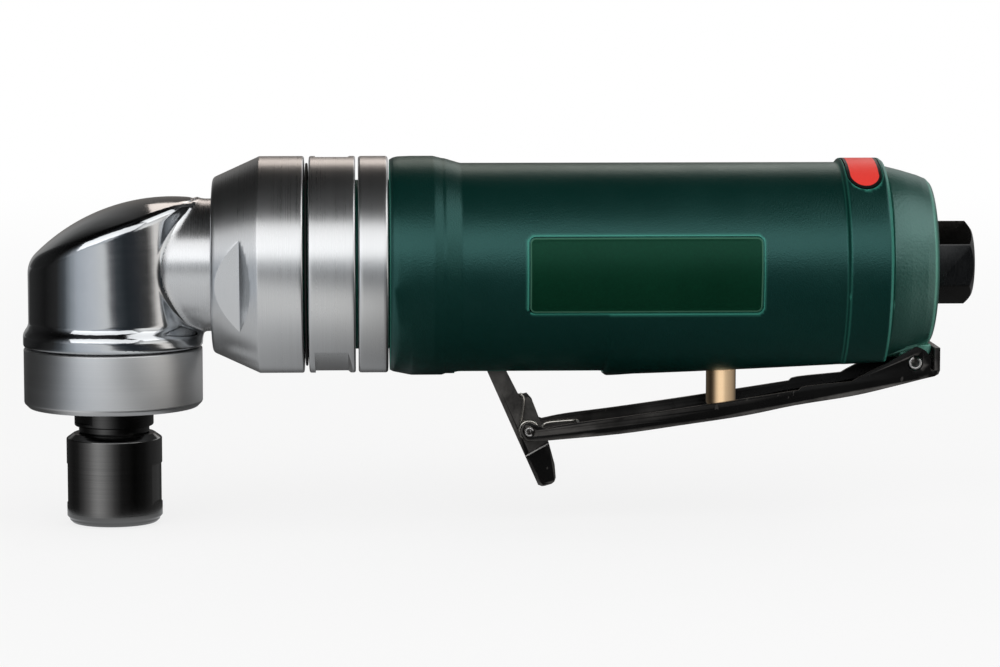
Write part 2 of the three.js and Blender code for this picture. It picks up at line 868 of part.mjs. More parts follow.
place(
  "spindle",
  aboutZ(
    [
      [0, spindleNoseTop],
      [spindleNoseRadius, spindleNoseTop],
      [spindleNoseRadius, spindleGearSeatTop],
      [spindleGearSeatRadius, spindleGearSeatTop],
      [spindleGearSeatRadius, spindleShoulderTop],
      [spindleShoulderRadius, spindleShoulderTop],
      [spindleShoulderRadius, spindleBearingTop + fit],
      [spindleBearingSeat, spindleBearingTop + fit],
      [spindleBearingSeat, spindleBearingBottom - fit],
      [spindleCollarRadius, spindleBearingBottom - fit - fit],
      [spindleCollarRadius, spindleCollarBottom],
      [spindleNeckRadius, spindleCollarBottom],
      [spindleNeckRadius, spindleNeckBottom],
      [spindleThreadRadius, spindleNeckBottom],
      [spindleThreadRadius, spindleBottom],
      [colletBore, spindleBottom],
      [colletBore, colletTop + cutOver],
      [0, colletTop + cutOver],
    ],
    mediumSides,
  ),
  "blackSteel",
);

place(
  "spindle_upper_bush",
  aboutZ(ring(spindleNoseRadius + fit, bushOuter, bushBottom, bushTop), smallSides),
  "brass",
);

const gearBore = aboutZ(
  rod(spindleGearSeatRadius + fit, 0, drivenGear.back + cutOver),
  smallSides,
);
place("bevel_gear", cut(drivenGear.gear, gearBore).rotate([180, 0, 0]), "bareSteel");

function colletSolid() {
  const flangeTop = spindleBottom - fit;
  const flangeBottom = flangeTop - colletFlangeHeight;
  const body = aboutZ(
    [
      [shankRadius, colletTop],
      [colletShankRadius, colletTop],
      [colletShankRadius, flangeTop],
      [colletFlangeRadius, flangeTop],
      [colletFlangeRadius, flangeBottom],
      [colletNoseRadius, flangeBottom - colletNoseHeight],
      [colletNoseRadius, colletBottom],
      [shankRadius, colletBottom],
    ],
    mediumSides,
  );
  const slit = boxBetween(
    [0, -colletSlitWidth / 2, colletBottom - cutOver],
    [colletFlangeRadius + cutOver, colletSlitWidth / 2, colletTop - colletSlitDrop],
  );
  const slits = Array.from({ length: colletSlits }, (_, i) =>
    slit.rotate([0, 0, (360 * (i + 0.5)) / colletSlits]),
  );
  return cut(body, ...slits);
}

place("collet", colletSolid(), "bareSteel");

function colletNut() {
  const threadRadius = spindleThreadRadius + fit;
  const flangeRoom = colletFlangeRadius + fit;
  const mouthRadius = colletNoseRadius + nutMouthGap;
  const flangeBottom = spindleBottom - fit - colletFlangeHeight;
  const body = aboutZ(
    [
      [threadRadius, nutTop],
      [nutRadius - nutTopInset, nutTop],
      [nutRadius, nutTop - nutTopEdge],
      [nutRadius, nutBottom + nutBottomEdge],
      [nutRadius - nutBottomEdge, nutBottom],
      [mouthRadius, nutBottom],
      [mouthRadius, flangeBottom - colletNoseHeight - fit],
      [flangeRoom, flangeBottom - fit],
      [flangeRoom, spindleBottom - fit],
      [threadRadius, spindleBottom - fit],
    ],
    mediumSides,
  );
  const flatCutter = boxBetween(
    [nutRadius - nutFlatDepth, -nutRadius, nutBottom + nutFlatBottomRise],
    [nutRadius + cutOver, nutRadius, nutTop - nutFlatTopDrop],
  );
  return cut(
    body,
    flatCutter.rotate([0, 0, -nutFlatAngle]),
    flatCutter.rotate([0, 0, 180 - nutFlatAngle]),
  );
}

place("collet_nut", colletNut(), "blackSteel");

placeBearing(
  "spindle",
  bearingParts(spindleBearingSeat, spindleBearingRadius, spindleBearingWidth, spindleBalls),
  (solid) => moved(solid.rotate([0, -90, 0]), 0, 0, spindleBearingBottom),
);

// Pinion on the motor axis, its socket holding the rotor's nose.
const drivePinion = bevelGear(pinionTeeth, gearTeeth, 0.5);

function pinionSolid() {
  const shaft = aboutX(
    [
      [0, drivePinion.back - gearBackHeight],
      [pinionHubRadius, drivePinion.back - gearBackHeight / 2],
      [pinionHubRadius, pinionBearingFront - fit],
      [pinionSeatRadius, pinionBearingFront - fit],
      [pinionSeatRadius, pinionRear],
      [pinionSocketRadius, pinionRear],
      [pinionSocketRadius, pinionRear - pinionSocketDepth],
      [0, pinionRear - pinionSocketDepth],
    ],
    smallSides,
  );
  return joined(drivePinion.gear.rotate([0, 90, 0]), shaft);
}

place("pinion", pinionSolid(), "bareSteel");

placeBearing(
  "pinion",
  bearingParts(pinionSeatRadius, pinionBearingRadius, pinionBearingWidth, pinionBalls),
  (solid) => moved(solid, pinionBearingFront),
);

// Coupling nut and rings, about the X axis.

// A cutter that planes one flat on a ring: height above the axis, then the stretch it covers.
function flatCutter(height, front, rear, runout) {
  return acrossY(
    [
      [front, height],
      [rear, height],
      [runout, ringRadius + cutOver],
      [front, ringRadius + cutOver],
    ],
    -ringRadius,
    ringRadius,
  );
}

function couplingNut() {
  const body = aboutX(
    [
      [neckRadius + fit, couplingFront],
      [couplingFrontRadius - couplingFrontEdge, couplingFront],
      [couplingFrontRadius + couplingFrontEdge, couplingFront + couplingFrontEdge],
      [ringRadius, couplingFront + couplingConeLength],
      [ringRadius, couplingRear - ringEdge],
      [ringRadius - ringEdge, couplingRear],
      [noseRadius + fit, couplingRear],
      [noseRadius + fit, couplingFront + couplingLip],
      [neckRadius + fit, couplingFront + couplingLip],
    ],
    largeSides,
  );
  const flatRear = couplingFront + couplingFlatLength;
  const cutter = flatCutter(
    ringRadius - couplingFlatDepth,
    couplingFront - cutOver,
    flatRear,
    flatRear + couplingFlatRunout,
  );
  return cut(
    body,
    cutter.rotate([90 + couplingFlatTilt, 0, 0]),
    cutter.rotate([couplingFlatTilt - 90, 0, 0]),
  );
}

place("coupling_nut", couplingNut(), "satinSteel");

function ringWithEdges(front, rear) {
  return aboutX(
    [
      [noseRadius + fit, front],
      [ringRadius - ringEdge, front],
      [ringRadius, front + ringEdge],
      [ringRadius, rear - ringEdge],
      [ringRadius - ringEdge, rear],
      [noseRadius + fit, rear],
    ],
    largeSides,
  );
}

function lockRing() {
  const flatRear = lockRingRear - lockRingFlatEnd;
  const cutter = flatCutter(
    ringRadius - lockRingFlatDepth,
    lockRingFront + lockRingFlatInset,
    flatRear,
    flatRear + lockRingFlatDepth,
  );
  return cut(
    ringWithEdges(lockRingFront, lockRingRear),
    cutter.rotate([180 - lockRingFlatTilt, 0, 0]),
    cutter.rotate([-lockRingFlatTilt, 0, 0]),
  );
}

place("lock_ring", lockRing(), "satinSteel");
place("adapter_ring", ringWithEdges(adapterFront, adapterRear), "satinSteel");

const sealMiddle = (couplingRear + lockRingFront) / 2;
place(
  "ring_seal",
  aboutX(
    ring(
      sealInnerRadius,
      sealOuterRadius,
      sealMiddle - sealThickness / 2,
      sealMiddle + sealThickness / 2,
    ),
    mediumSides,
  ),
  "rubber",
);

// Motor housing, lofted through stations of [x, radius, depth below the axis].
function loftAlongX(stations, sides) {
  const positions = [];
  const index = [];
  stations.forEach(([x, radius, keel]) => {
    for (let i = 0; i < sides; i += 1) {
      const angle = (2 * Math.PI * i) / sides;
      const rise = Math.sin(angle);
      positions.push(x, radius * Math.cos(angle), rise * (rise > 0 ? radius : keel));
    }
  });
  const front = positions.length / 3;
  positions.push(stations[0][0], 0, 0, stations.at(-1)[0], 0, 0);
  const last = (stations.length - 1) * sides;
  for (let i = 0; i < sides; i += 1) {
    const next = (i + 1) % sides;
    index.push(front, i, next, front + 1, last + next, last + i);
    for (let row = 0; row < last; row += sides) {
      index.push(row + i, row + sides + i, row + next);
      index.push(row + next, row + sides + i, row + sides + next);
    }
  }
  const geometry = new THREE.BufferGeometry();
  geometry.setAttribute("position", new THREE.Float32BufferAttribute(positions, 3));
  geometry.setIndex(index);
  return solidFrom(geometry);
}

function plateOutline(margin) {
  const low = [plateFront - margin, plateBottom - margin];
  const high = [plateRear + margin, plateTop + margin];
  const round = plateCorner + margin;
  const quarter = (x, z, from) => arcPoints(x, z, round, from, from + 90, 4);
  return [
    ...quarter(high[0] - round, high[1] - round, 0),
    ...quarter(low[0] + round, high[1] - round, 90),
    ...quarter(low[0] + round, low[1] + round, 180),
    ...quarter(high[0] - round, low[1] + round, 270),
  ];
}

const labelMiddle = (bandFront + bandRear) / 2 - labelInset / 2;

function labelOutline(margin) {
  const straight = labelHalfLength - labelHalfWidth;
  const round = labelHalfWidth + margin;
  return [
    ...arcPoints(labelMiddle, straight, round, 0, 180, 8),
    ...arcPoints(labelMiddle, -straight, round, 180, 360, 8),
  ];
}

// A [x, y] outline carried up from the axis through the top of the band.
function upThroughBand(outline) {
  return acrossY(outline, 0, bandRadius + cutOver).rotate([90, 0, 0]);
}

function motorHousing() {
  const stepRadius = barrelRadius + collarStepProud;
  const undersideRearDepth = barrelRadius - undersideRearRise;
  const barrel = loftAlongX(
    [
      [collarFront, ringRadius - collarFrontInset, ringRadius - collarFrontKeelInset],
      [collarFront + collarEdgeLength, ringRadius - collarFrontInset / 8, ringRadius],
      [collarFront + collarKeelLength, ringRadius, collarKeel],
      [collarEnd, ringRadius, collarKeel],
      [collarStep, stepRadius, collarKeel],
      [collarStep + collarStepRun, stepRadius, barrelKeel],
      [barrelFront, barrelRadius, barrelKeel],
      [keelStep, barrelRadius, barrelKeel],
      [keelStep + keelStepRun, barrelRadius, keelStepDepth],
      [bandFront - bandRun, barrelRadius, keelStepDepth],
      [bandFront, bandRadius, keelStepDepth],
      [bandRear - bandEdge, bandRadius, keelStepDepth],
      [bandRear, bandRadius - bandEdge, keelStepDepth - bandEdge],
    ],
    largeSides,
  );
  const nose = aboutX(
    rod(noseRadius, noseFront, collarFront + collarEdgeLength),
    largeSides,
  );
  const underside = acrossY(
    [
      [keelStep + keelStepRun, -keelStepDepth],
      [bandRear + cutOver, -undersideRearDepth],
      [bandRear + cutOver, -keelStepDepth - cutOver],
      [keelStep + keelStepRun, -keelStepDepth - cutOver],
    ],
    -bandRadius,
    bandRadius,
  );
  const motorBore = aboutX(
    [
      [0, noseFront - cutOver],
      [motorBoreRadius, noseFront - cutOver],
      [motorBoreRadius, motorBoreRear],
      [shaftRoomRadius, motorBoreRear],
      [shaftRoomRadius, motorBoreRear + shaftRoomDepth],
      [0, motorBoreRear + shaftRoomDepth],
    ],
    mediumSides,
  );
  const pocket = boxBetween(
    [lockPocketFront, -lockPocketHalfWidth, -keelStepDepth - cutOver],
    [keelStep, lockPocketHalfWidth, lockPocketCeiling],
  );
  const exhaustBore = aboutX(
    rod(exhaustBoreRadius, exhaustBoreFront, bandRear + cutOver),
    tinySides,
    0,
    exhaustBoreUp,
  );
  const valveBore = aboutZ(
    rod(valveBushRadius + fit, -keelStepDepth - cutOver, valveBoreTop),
    smallSides,
    valveAhead,
  );
  const shankBore = inletShankRadius + fit;
  const airBore = aboutX(
    [
      [0, valveAhead],
      [airBoreRadius, valveAhead],
      [airBoreRadius, inletShankFront - fit],
      [shankBore, inletShankFront - fit],
      [shankBore, bandRear + cutOver],
      [0, bandRear + cutOver],
    ],
    smallSides,
  );
  const recessRadius = barrelRadius + plateProud - plateThickness - fit;
  const plateRecess = cut(
    acrossY(plateOutline(fit), -bandRadius, 0),
    aboutX(rod(recessRadius, plateFront - cutOver, plateRear + cutOver), largeSides),
  );
  const labelRecess = cut(
    upThroughBand(labelOutline(fit)),
    aboutX(
      rod(bandRadius - labelThickness - fit, bandFront - cutOver, bandRear + cutOver),
      largeSides,
    ),
  );
  return cut(
    joined(barrel, nose),
    underside,
    motorBore,
    pocket,
    exhaustBore.translate([0, exhaustBoreAside, 0]),
    exhaustBore.translate([0, -exhaustBoreAside, 0]),
    valveBore,
    airBore,
    plateRecess,
    labelRecess,
  );
}

place("motor_housing", motorHousing(), "darkGreen");

place(
  "name_plate",
  acrossY(plateOutline(0), -bandRadius, 0).intersect(
    aboutX(
      ring(
        barrelRadius + plateProud - plateThickness,
        barrelRadius + plateProud,
        plateFront - cutOver,
        plateRear + cutOver,
      ),
      largeSides,
    ),
  ),
  "plateGreen",
);

place(
  "service_label",
  upThroughBand(labelOutline(0)).intersect(
    aboutX(
      ring(bandRadius - labelThickness, bandRadius, bandFront - cutOver, bandRear + cutOver),
      largeSides,
    ),
  ),
  "labelRed",
);

// Motor inside the housing.
const bearingHole = rotorBearingRadius + fit;
const plateShaftHole = rotorShaftRadius + plateShaftGap;
const rotorFront = cylinderFront + fit;
const rotorRear = cylinderRear - fit;

place(
  "front_end_plate",
  aboutX(
    [
      [bearingHole, frontPlateFront],
      [plateRadius, frontPlateFront],
      [plateRadius, frontPlateRear],
      [plateShaftHole, frontPlateRear],
      [plateShaftHole, frontPlateRear - plateLip],
      [bearingHole, frontPlateRear - plateLip],
    ],
    mediumSides,
  ),
  "bareSteel",
);

const dowelHole = (front, rear) =>
  aboutX(rod(dowelRadius + fit, front, rear), tinySides, 0, -dowelDown);

place(
  "rear_end_plate",
  cut(
    aboutX(
      [
        [bearingHole, rearPlateRear],
        [plateRadius, rearPlateRear],
        [plateRadius, rearPlateFront],
        [plateShaftHole, rearPlateFront],
        [plateShaftHole, rearPlateFront + plateLip],
        [bearingHole, rearPlateFront + plateLip],
      ],
      mediumSides,
    ),
    dowelHole(rearPlateFront - cutOver, rearPlateRear + cutOver),
  ),
  "bareSteel",
);

place(
  "cylinder_dowel",
  aboutX(
    rod(dowelRadius, cylinderRear - dowelInCylinder + fit, rearPlateRear),
    tinySides,
    0,
    -dowelDown,
  ),
  "bareSteel",
);

function motorCylinder() {
  const body = aboutX(rod(plateRadius, cylinderFront, cylinderRear), mediumSides);
  const bore = aboutX(
    rod(cylinderBoreRadius, cylinderFront - cutOver, cylinderRear + cutOver),
    largeSides,
    0,
    cylinderOffset,
  );
  const middle = (cylinderFront + cylinderRear) / 2;
  const port = boxBetween(
    [middle - cylinderPortLength / 2, -cylinderPortWidth / 2, 0],
    [middle + cylinderPortLength / 2, cylinderPortWidth / 2, plateRadius + cutOver],
  );
  const ports = Array.from({ length: cylinderPorts }, (_, i) =>
    port.rotate([90 + cylinderPortPitch * (i - (cylinderPorts - 1) / 2), 0, 0]),
  );
  return cut(body, bore, dowelHole(cylinderRear - dowelInCylinder, cylinderRear + cutOver), ...ports);
}

place("motor_cylinder", motorCylinder(), "bareSteel");

function rotorSolid() {
  const body = aboutX(
    [
      [0, rotorNoseFront],
      [rotorNoseRadius, rotorNoseFront],
      [rotorNoseRadius, frontPlateFront],
      [rotorShaftRadius, frontPlateFront],
      [rotorShaftRadius, rotorFront],
      [rotorRadius, rotorFront],
      [rotorRadius, rotorRear],
      [rotorShaftRadius, rotorRear],
      [rotorShaftRadius, rearPlateRear],
      [0, rearPlateRear],
    ],
    mediumSides,
  );
  const slotHalf = vaneThickness / 2 + fit;
  const slot = boxBetween(
    [rotorFront - fit, -slotHalf, vaneRoot - fit],
    [rotorRear + fit, slotHalf, rotorRadius + cutOver],
  );
  const slots = Array.from({ length: vaneCount }, (_, i) =>
    slot.rotate([(360 * i) / vaneCount, 0, 0]),
  );
  return cut(body, ...slots);
}

place("rotor", rotorSolid(), "bareSteel");

const vane = boxBetween(
  [rotorFront, -vaneThickness / 2, vaneRoot],
  [rotorRear, vaneThickness / 2, rotorRadius + vaneProud],
);
for (let i = 0; i < vaneCount; i += 1) {
  place(`vane_${i + 1}`, vane.rotate([(360 * i) / vaneCount, 0, 0]), "composite");
}

const rotorBearing = bearingParts(
  rotorShaftRadius,
  rotorBearingRadius,
  rotorBearingWidth,
  rotorBalls,
);
placeBearing("rotor_front", rotorBearing, (solid) => moved(solid, frontPlateFront));
placeBearing("rotor_rear", rotorBearing, (solid) =>
  moved(solid, rearPlateRear - rotorBearingWidth),
);

// Valve.
function valveBushing() {
  const body = aboutZ(
    ring(stemRadius + fit, valveBushRadius, valveBushBottom, valveBushTop),
    smallSides,
    valveAhead,
  );
  const groove = aboutZ(
    rod(
      stemRadius + fit + valveORingThickness + fit,
      valveBushBottom - cutOver,
      valveBushBottom + valveORingInset + valveORingThickness + fit,
    ),
    smallSides,
    valveAhead,
  );
  return cut(body, groove);
}

place("valve_bushing", valveBushing(), "brass");

place(
  "valve_o_ring",
  aboutZ(
    arcPoints(
      stemRadius + fit + valveORingThickness / 2,
      valveBushBottom + valveORingInset + valveORingThickness / 2,
      valveORingThickness / 2,
      0,
      300,
      5,
    ),
    smallSides,
    valveAhead,
  ),
  "rubber",
);

place(
  "valve_stem",
  aboutZ(
    [
      [0, stemBottom],
      [stemRadius - stemEdge, stemBottom],
      [stemRadius, stemBottom + stemEdge],
      [stemRadius, valveBushTop - fit],
      [0, valveBushTop - fit],
    ],
    smallSides,
    valveAhead,
  ),
  "brass",
);

const plugBottom = valveBushTop + fit;
const plugTop = plugBottom + plugHeight;
place(
  "valve_plug",
  aboutZ(
    [
      [0, plugBottom],
      [plugRadius, plugBottom],
      [plugRadius, plugTop],
      [plugNippleRadius, plugTop],
      [plugNippleRadius, plugTop + plugNippleHeight],
      [0, plugTop + plugNippleHeight],
    ],
    smallSides,
    valveAhead,
  ),
  "rubber",
);

function valveSpringPoints() {
  const low = plugTop + fit + valveSpringWire;
  const high = valveBoreTop - fit - valveSpringWire;
  return Array.from({ length: valveSpringTurns * curlSteps + 1 }, (_, i) => {
    const angle = (2 * Math.PI * i) / curlSteps;
    return new THREE.Vector3(
      valveAhead + valveSpringRadius * Math.cos(angle),
      valveSpringRadius * Math.sin(angle),
      low + ((high - low) * i) / (valveSpringTurns * curlSteps),
    );
  });
}

place(
  "valve_spring",
  wireSolid(valveSpringPoints(), valveSpringWire, wireSides),
  "bareSteel",
);

// Exhaust cap.
function exhaustCap() {
  const shankHole = inletShankRadius + fit;
  const sealRoom = inletSealRadius + fit;
  const body = aboutX(
    [
      [shankHole, exhaustFront],
      [exhaustHubRadius, exhaustFront],
      [exhaustHubRadius, exhaustRear - exhaustFloor],
      [exhaustInnerRadius, exhaustRear - exhaustFloor],
      [exhaustFrontRadius - exhaustWall, exhaustFront],
      [exhaustFrontRadius, exhaustFront],
      [barrelRadius - exhaustSecondInset, exhaustFront + exhaustSecondBehind],
      [exhaustThirdRadius, exhaustFront + exhaustThirdBehind],
      [barrelRadius - exhaustRimInset, exhaustFront + exhaustRimBehind],
      [barrelRadius - exhaustRearInset, exhaustRear],
      [sealRoom, exhaustRear],
      [sealRoom, exhaustRear - inletSealThickness - fit],
      [shankHole, exhaustRear - inletSealThickness - fit],
    ],
    largeSides,
  );
  const lugFront = pivotAhead - lugAhead;
  const lugTop = lugSink - exhaustThirdRadius;
  const lug = acrossY(
    [
      [lugFront, lugTop],
      ...arcPoints(pivotAhead, pivotUp, lugRadius, 180, 360, 8),
      [exhaustRear, pivotUp + lugRadius],
      [exhaustRear, lugTop],
    ],
    -lugHalfWidth,
    lugHalfWidth,
  );
  const pinHole = aboutY(
    rod(pivotPinRadius + fit, -exhaustFrontRadius, exhaustFrontRadius),
    tinySides,
    pivotAhead,
    pivotUp,
  );
  const hole = aboutX(
    rod(exhaustHoleRadius, exhaustFront, exhaustRear + cutOver),
    tinySides,
    exhaustHoleCircle,
  );
  const holes = Array.from({ length: exhaustHoles }, (_, i) =>
    hole.rotate([(360 * (i + 0.5)) / exhaustHoles, 0, 0]),
  );
  const earRoom = leverEarRadius + fit + fit;
  const earOutline = [
    ...arcPoints(pivotAhead, pivotUp, earRoom, 0, 120, 8),
    [lugFront - earRoom, pivotUp + fit],
    [lugFront - earRoom, pivotUp - earRoom],
    [pivotAhead + earRoom, pivotUp - earRoom],
  ];
  const earInner = leverInner - fit;
  const earOuter = leverHalfWidth + fit + fit;
  return cut(
    joined(body, lug),
    pinHole,
    ...holes,
    acrossY(earOutline, earInner, earOuter),
    acrossY(earOutline, -earOuter, -earInner),
  );
}

place("exhaust_cap", exhaustCap(), "capGreen");

place(
  "muffler_pad",
  aboutX(
    ring(
      exhaustHubRadius + fit,
      exhaustInnerRadius - fit,
      exhaustFront + mufflerInset,
      exhaustRear - exhaustFloor - fit,
    ),
    largeSides,
  ),
  "felt",
);

// Air inlet.
function airInlet() {
  const cornerRadius = hexAcross / Math.sqrt(3);
  const hexagon = aboutX(rod(cornerRadius, hexFront, hexRear), 6);
  const chamfer = aboutX(
    [
      [0, hexFront - cutOver],
      [cornerRadius + cutOver, hexFront - cutOver],
      [cornerRadius + cutOver, hexRear - hexChamfer],
      [cornerRadius, hexRear - hexChamfer],
      [cornerRadius - hexChamfer, hexRear],
      [0, hexRear],
    ],
    mediumSides,
  );
  const shank = aboutX(rod(inletShankRadius, inletShankFront, hexFront + cutOver), smallSides);
  const bore = aboutX(
    [
      [0, inletShankFront - cutOver],
      [inletPassageRadius, inletShankFront - cutOver],
      [inletPassageRadius, inletBoreFront],
      [inletBoreRadius, inletBoreFront],
      [inletBoreRadius, hexRear + cutOver],
      [0, hexRear + cutOver],
    ],
    smallSides,
  );
  return cut(joined(hexagon.intersect(chamfer), shank), bore);
}

place("air_inlet_bushing", airInlet(), "blackSteel");

place(
  "inlet_o_ring",
  aboutX(
    ring(
      inletShankRadius + fit,
      inletSealRadius,
      exhaustRear - inletSealThickness,
      exhaustRear + fit / 2,
    ),
    smallSides,
  ),
  "rubber",
);

const screenFront = inletBoreFront + fit;
const screenHole = (y) =>
  aboutX(
    rod(screenHoleRadius, screenFront - cutOver, screenFront + screenThickness + cutOver),
    tinySides,
    y,
  );
place(
  "inlet_screen",
  cut(
    aboutX(rod(inletBoreRadius - fit, screenFront, screenFront + screenThickness), smallSides),
    screenHole(0),
    ...Array.from({ length: screenHoles }, (_, i) =>
      screenHole(screenHoleCircle).rotate([(360 * i) / screenHoles, 0, 0]),
    ),
  ),
  "satinSteel",
);

// Levers.
const leverPoint = ([reachShare, dropShare]) => [
  pivotAhead - reachShare * leverReach,
  pivotUp - dropShare * leverDrop,
];

// A rolled pin across Y: a sheet curled round with a slit along its top.
function rolledPin(x, z, radius, wall, halfLength, slitFrom) {
  const outline = [
    ...arcPoints(x, z, radius, slitFrom, slitFrom + 310, tinySides),
    ...arcPoints(x, z, radius - wall, slitFrom + 310, slitFrom, tinySides),
  ];
  return acrossY(outline, -halfLength, halfLength);
}

function throttleLever() {
  const heelX = exhaustRear + leverHeelGap + leverSheet;
  const heelFoot = leverPoint(leverBottomShares[0]);
  const bottom = [
    [heelX, pivotUp + leverHeelTop],
    [heelX, heelFoot[1]],
    ...leverBottomShares.map(leverPoint),
    [lockPinAhead, lockPinUp - leverFrontRadius],
  ];
  const web = acrossY(
    sheetOutline([...bottom].reverse(), leverSheet),
    -leverHalfWidth,
    leverHalfWidth,
  );
  const wallOutline = [
    ...leverTopShares.map(leverPoint).reverse(),
    ...arcPoints(lockPinAhead, lockPinUp, leverFrontRadius, 80, 270, 10),
    ...leverBottomShares.map(leverPoint).reverse(),
    ...arcPoints(pivotAhead, pivotUp, leverEarRadius, -20, 90, 8),
  ];
  const slot = boxBetween(
    [lockPinAhead - leverFrontRadius - cutOver, -leverInner, lockPinUp - leverDrop],
    [lockPinAhead + webSlotRear, leverInner, lockPinUp + leverDrop],
  );
  const pinHole = (x, z, radius) =>
    aboutY(
      rod(radius + fit, -leverHalfWidth - cutOver, leverHalfWidth + cutOver),
      tinySides,
      x,
      z,
    );
  return cut(
    joined(
      web,
      acrossY(wallOutline, leverInner, leverHalfWidth),
      acrossY(wallOutline, -leverHalfWidth, -leverInner),
    ),
    slot,
    pinHole(pivotAhead, pivotUp, pivotPinRadius),
    pinHole(lockPinAhead, lockPinUp, lockPinRadius),
  );
}

place("throttle_lever", throttleLever(), "blackSteel");

place(
  "lever_pin",
  rolledPin(
    pivotAhead,
    pivotUp,
    pivotPinRadius,
    pivotPinWall,
    leverHalfWidth + pivotPinProud,
    110,
  ),
  "satinSteel",
);

place(
  "lock_pin",
  rolledPin(
    lockPinAhead,
    lockPinUp,
    lockPinRadius,
    lockPinWall,
    leverHalfWidth + lockPinProud,
    20,
  ),
  "satinSteel",
);

// A point of the lock lever from its height along the arm and its depth behind the web.
function lockPoint(along, depth) {
  const tilt = radians(lockTilt);
  const back = depth - lockPinInset;
  return [
    lockPinAhead - along * Math.sin(tilt) + back * Math.cos(tilt),
    lockPinUp + along * Math.cos(tilt) + back * Math.sin(tilt),
  ];
}

function lockLever() {
  const behind = [
    ...lockArmShares.map(([u, v]) => lockPoint(u * lockArmLength, v * lockDepth)),
    ...lockTipShares.map(([u, v]) => lockPoint(-u * lockTipLength, v * lockDepth)),
  ];
  const wallOutline = [lockPoint(lockArmLength, 0), ...behind];
  const webOutline = [
    lockPoint(lockArmLength, 0),
    lockPoint(lockArmLength, lockSheet),
    lockPoint(-lockTipLength, lockSheet),
    lockPoint(-lockTipLength, 0),
  ];
  const tipOutline = [
    lockPoint(-lockTipLength + lockSheet, 0),
    ...lockTipShares.slice(2).map(([u, v]) => lockPoint(-u * lockTipLength, v * lockDepth)),
  ];
  const inner = lockHalfWidth - lockSheet;
  return cut(
    joined(
      acrossY(webOutline, -lockHalfWidth, lockHalfWidth),
      acrossY(tipOutline, -lockHalfWidth, lockHalfWidth),
      acrossY(wallOutline, inner, lockHalfWidth),
      acrossY(wallOutline, -lockHalfWidth, -inner),
    ),
    aboutY(
      rod(lockPinRadius + fit, -lockHalfWidth - cutOver, lockHalfWidth + cutOver),
      tinySides,
      lockPinAhead,
      lockPinUp,
    ),
  );
}

place("lock_lever", lockLever(), "blackSteel");

// The wire runs down the arm's leg, winds outwards round the pin and leaves along the lever.
function lockSpringPoints() {
  const side = lockHalfWidth + fit + lockSpringWire;
  const outside = side + lockSpringPitch * lockSpringSweep;
  const at = (x, y, z) => new THREE.Vector3(lockPinAhead + x, -y, lockPinUp + z);
  const armLeg = armLegShares.map(([up, ahead]) =>
    at(-ahead * lockSpringRadius, side, up * lockSpringArmLeg),
  );
  const steps = Math.round(lockSpringSweep * curlSteps);
  const coil = Array.from({ length: steps + 1 }, (_, i) => {
    const turned = (lockSpringSweep * i) / steps;
    const angle = Math.PI + 2 * Math.PI * turned;
    return at(
      lockSpringRadius * Math.cos(angle),
      side + lockSpringPitch * turned,
      lockSpringRadius * Math.sin(angle),
    );
  });
  const leverLeg = leverLegShares.map(([behind, up]) =>
    at(behind * lockSpringLeverLeg, outside, up * lockSpringLeverRise),
  );
  const hook = at(lockSpringLeverLeg, outside + lockSpringHook, lockSpringLeverRise);
  return [...armLeg, ...coil, ...leverLeg, hook];
}

const lockSpringPath = lockSpringPoints();
const lockSpringGap = leastGap(lockSpringPath, lockSpringWire, curlSteps - 1);
console.log(`lock spring: least gap to itself ${lockSpringGap.toFixed(2)} mm, over ${leastCoilGap}`);
place("lock_spring", wireSolid(lockSpringPath, lockSpringWire, wireSides), "satinSteel");

// The group's frame is the middle of its own box.
const box = new THREE.Box3().setFromObject(grinder);
grinder.position.copy(box.getCenter(new THREE.Vector3()).negate());

export default grinder;
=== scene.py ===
import bpy
import bmesh
import json
import math
import numpy as np
from functools import partial
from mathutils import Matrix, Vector


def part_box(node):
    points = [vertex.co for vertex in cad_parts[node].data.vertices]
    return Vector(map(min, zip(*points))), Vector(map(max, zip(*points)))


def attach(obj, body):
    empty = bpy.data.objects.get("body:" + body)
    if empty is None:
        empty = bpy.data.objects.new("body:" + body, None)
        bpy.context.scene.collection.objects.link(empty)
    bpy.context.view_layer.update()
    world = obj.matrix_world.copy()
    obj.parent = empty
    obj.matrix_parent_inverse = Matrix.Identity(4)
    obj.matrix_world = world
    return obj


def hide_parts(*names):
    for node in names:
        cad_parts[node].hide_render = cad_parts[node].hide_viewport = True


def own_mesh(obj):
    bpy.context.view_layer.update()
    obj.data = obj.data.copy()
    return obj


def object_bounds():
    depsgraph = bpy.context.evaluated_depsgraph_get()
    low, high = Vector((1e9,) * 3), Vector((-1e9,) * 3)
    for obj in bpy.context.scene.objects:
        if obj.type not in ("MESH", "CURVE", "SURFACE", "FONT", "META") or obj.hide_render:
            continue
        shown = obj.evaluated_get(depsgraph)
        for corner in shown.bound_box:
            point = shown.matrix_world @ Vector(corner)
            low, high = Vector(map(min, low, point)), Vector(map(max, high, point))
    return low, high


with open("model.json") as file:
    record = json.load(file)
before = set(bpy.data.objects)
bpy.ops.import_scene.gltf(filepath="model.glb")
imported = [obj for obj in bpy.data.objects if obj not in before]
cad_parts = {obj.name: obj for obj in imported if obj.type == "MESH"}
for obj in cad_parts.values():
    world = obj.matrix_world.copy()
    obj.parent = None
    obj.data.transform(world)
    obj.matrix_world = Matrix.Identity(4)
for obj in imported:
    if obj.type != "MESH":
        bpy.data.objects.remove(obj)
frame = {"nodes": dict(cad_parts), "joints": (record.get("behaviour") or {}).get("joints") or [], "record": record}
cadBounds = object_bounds()
print("frame loaded,", len(frame["nodes"]), "nodes")

mm = 0.001
circle = 2 * math.pi
jointSpot = {j["name"]: Vector(j["pos_m"]) for j in frame["joints"] if "pos_m" in j}
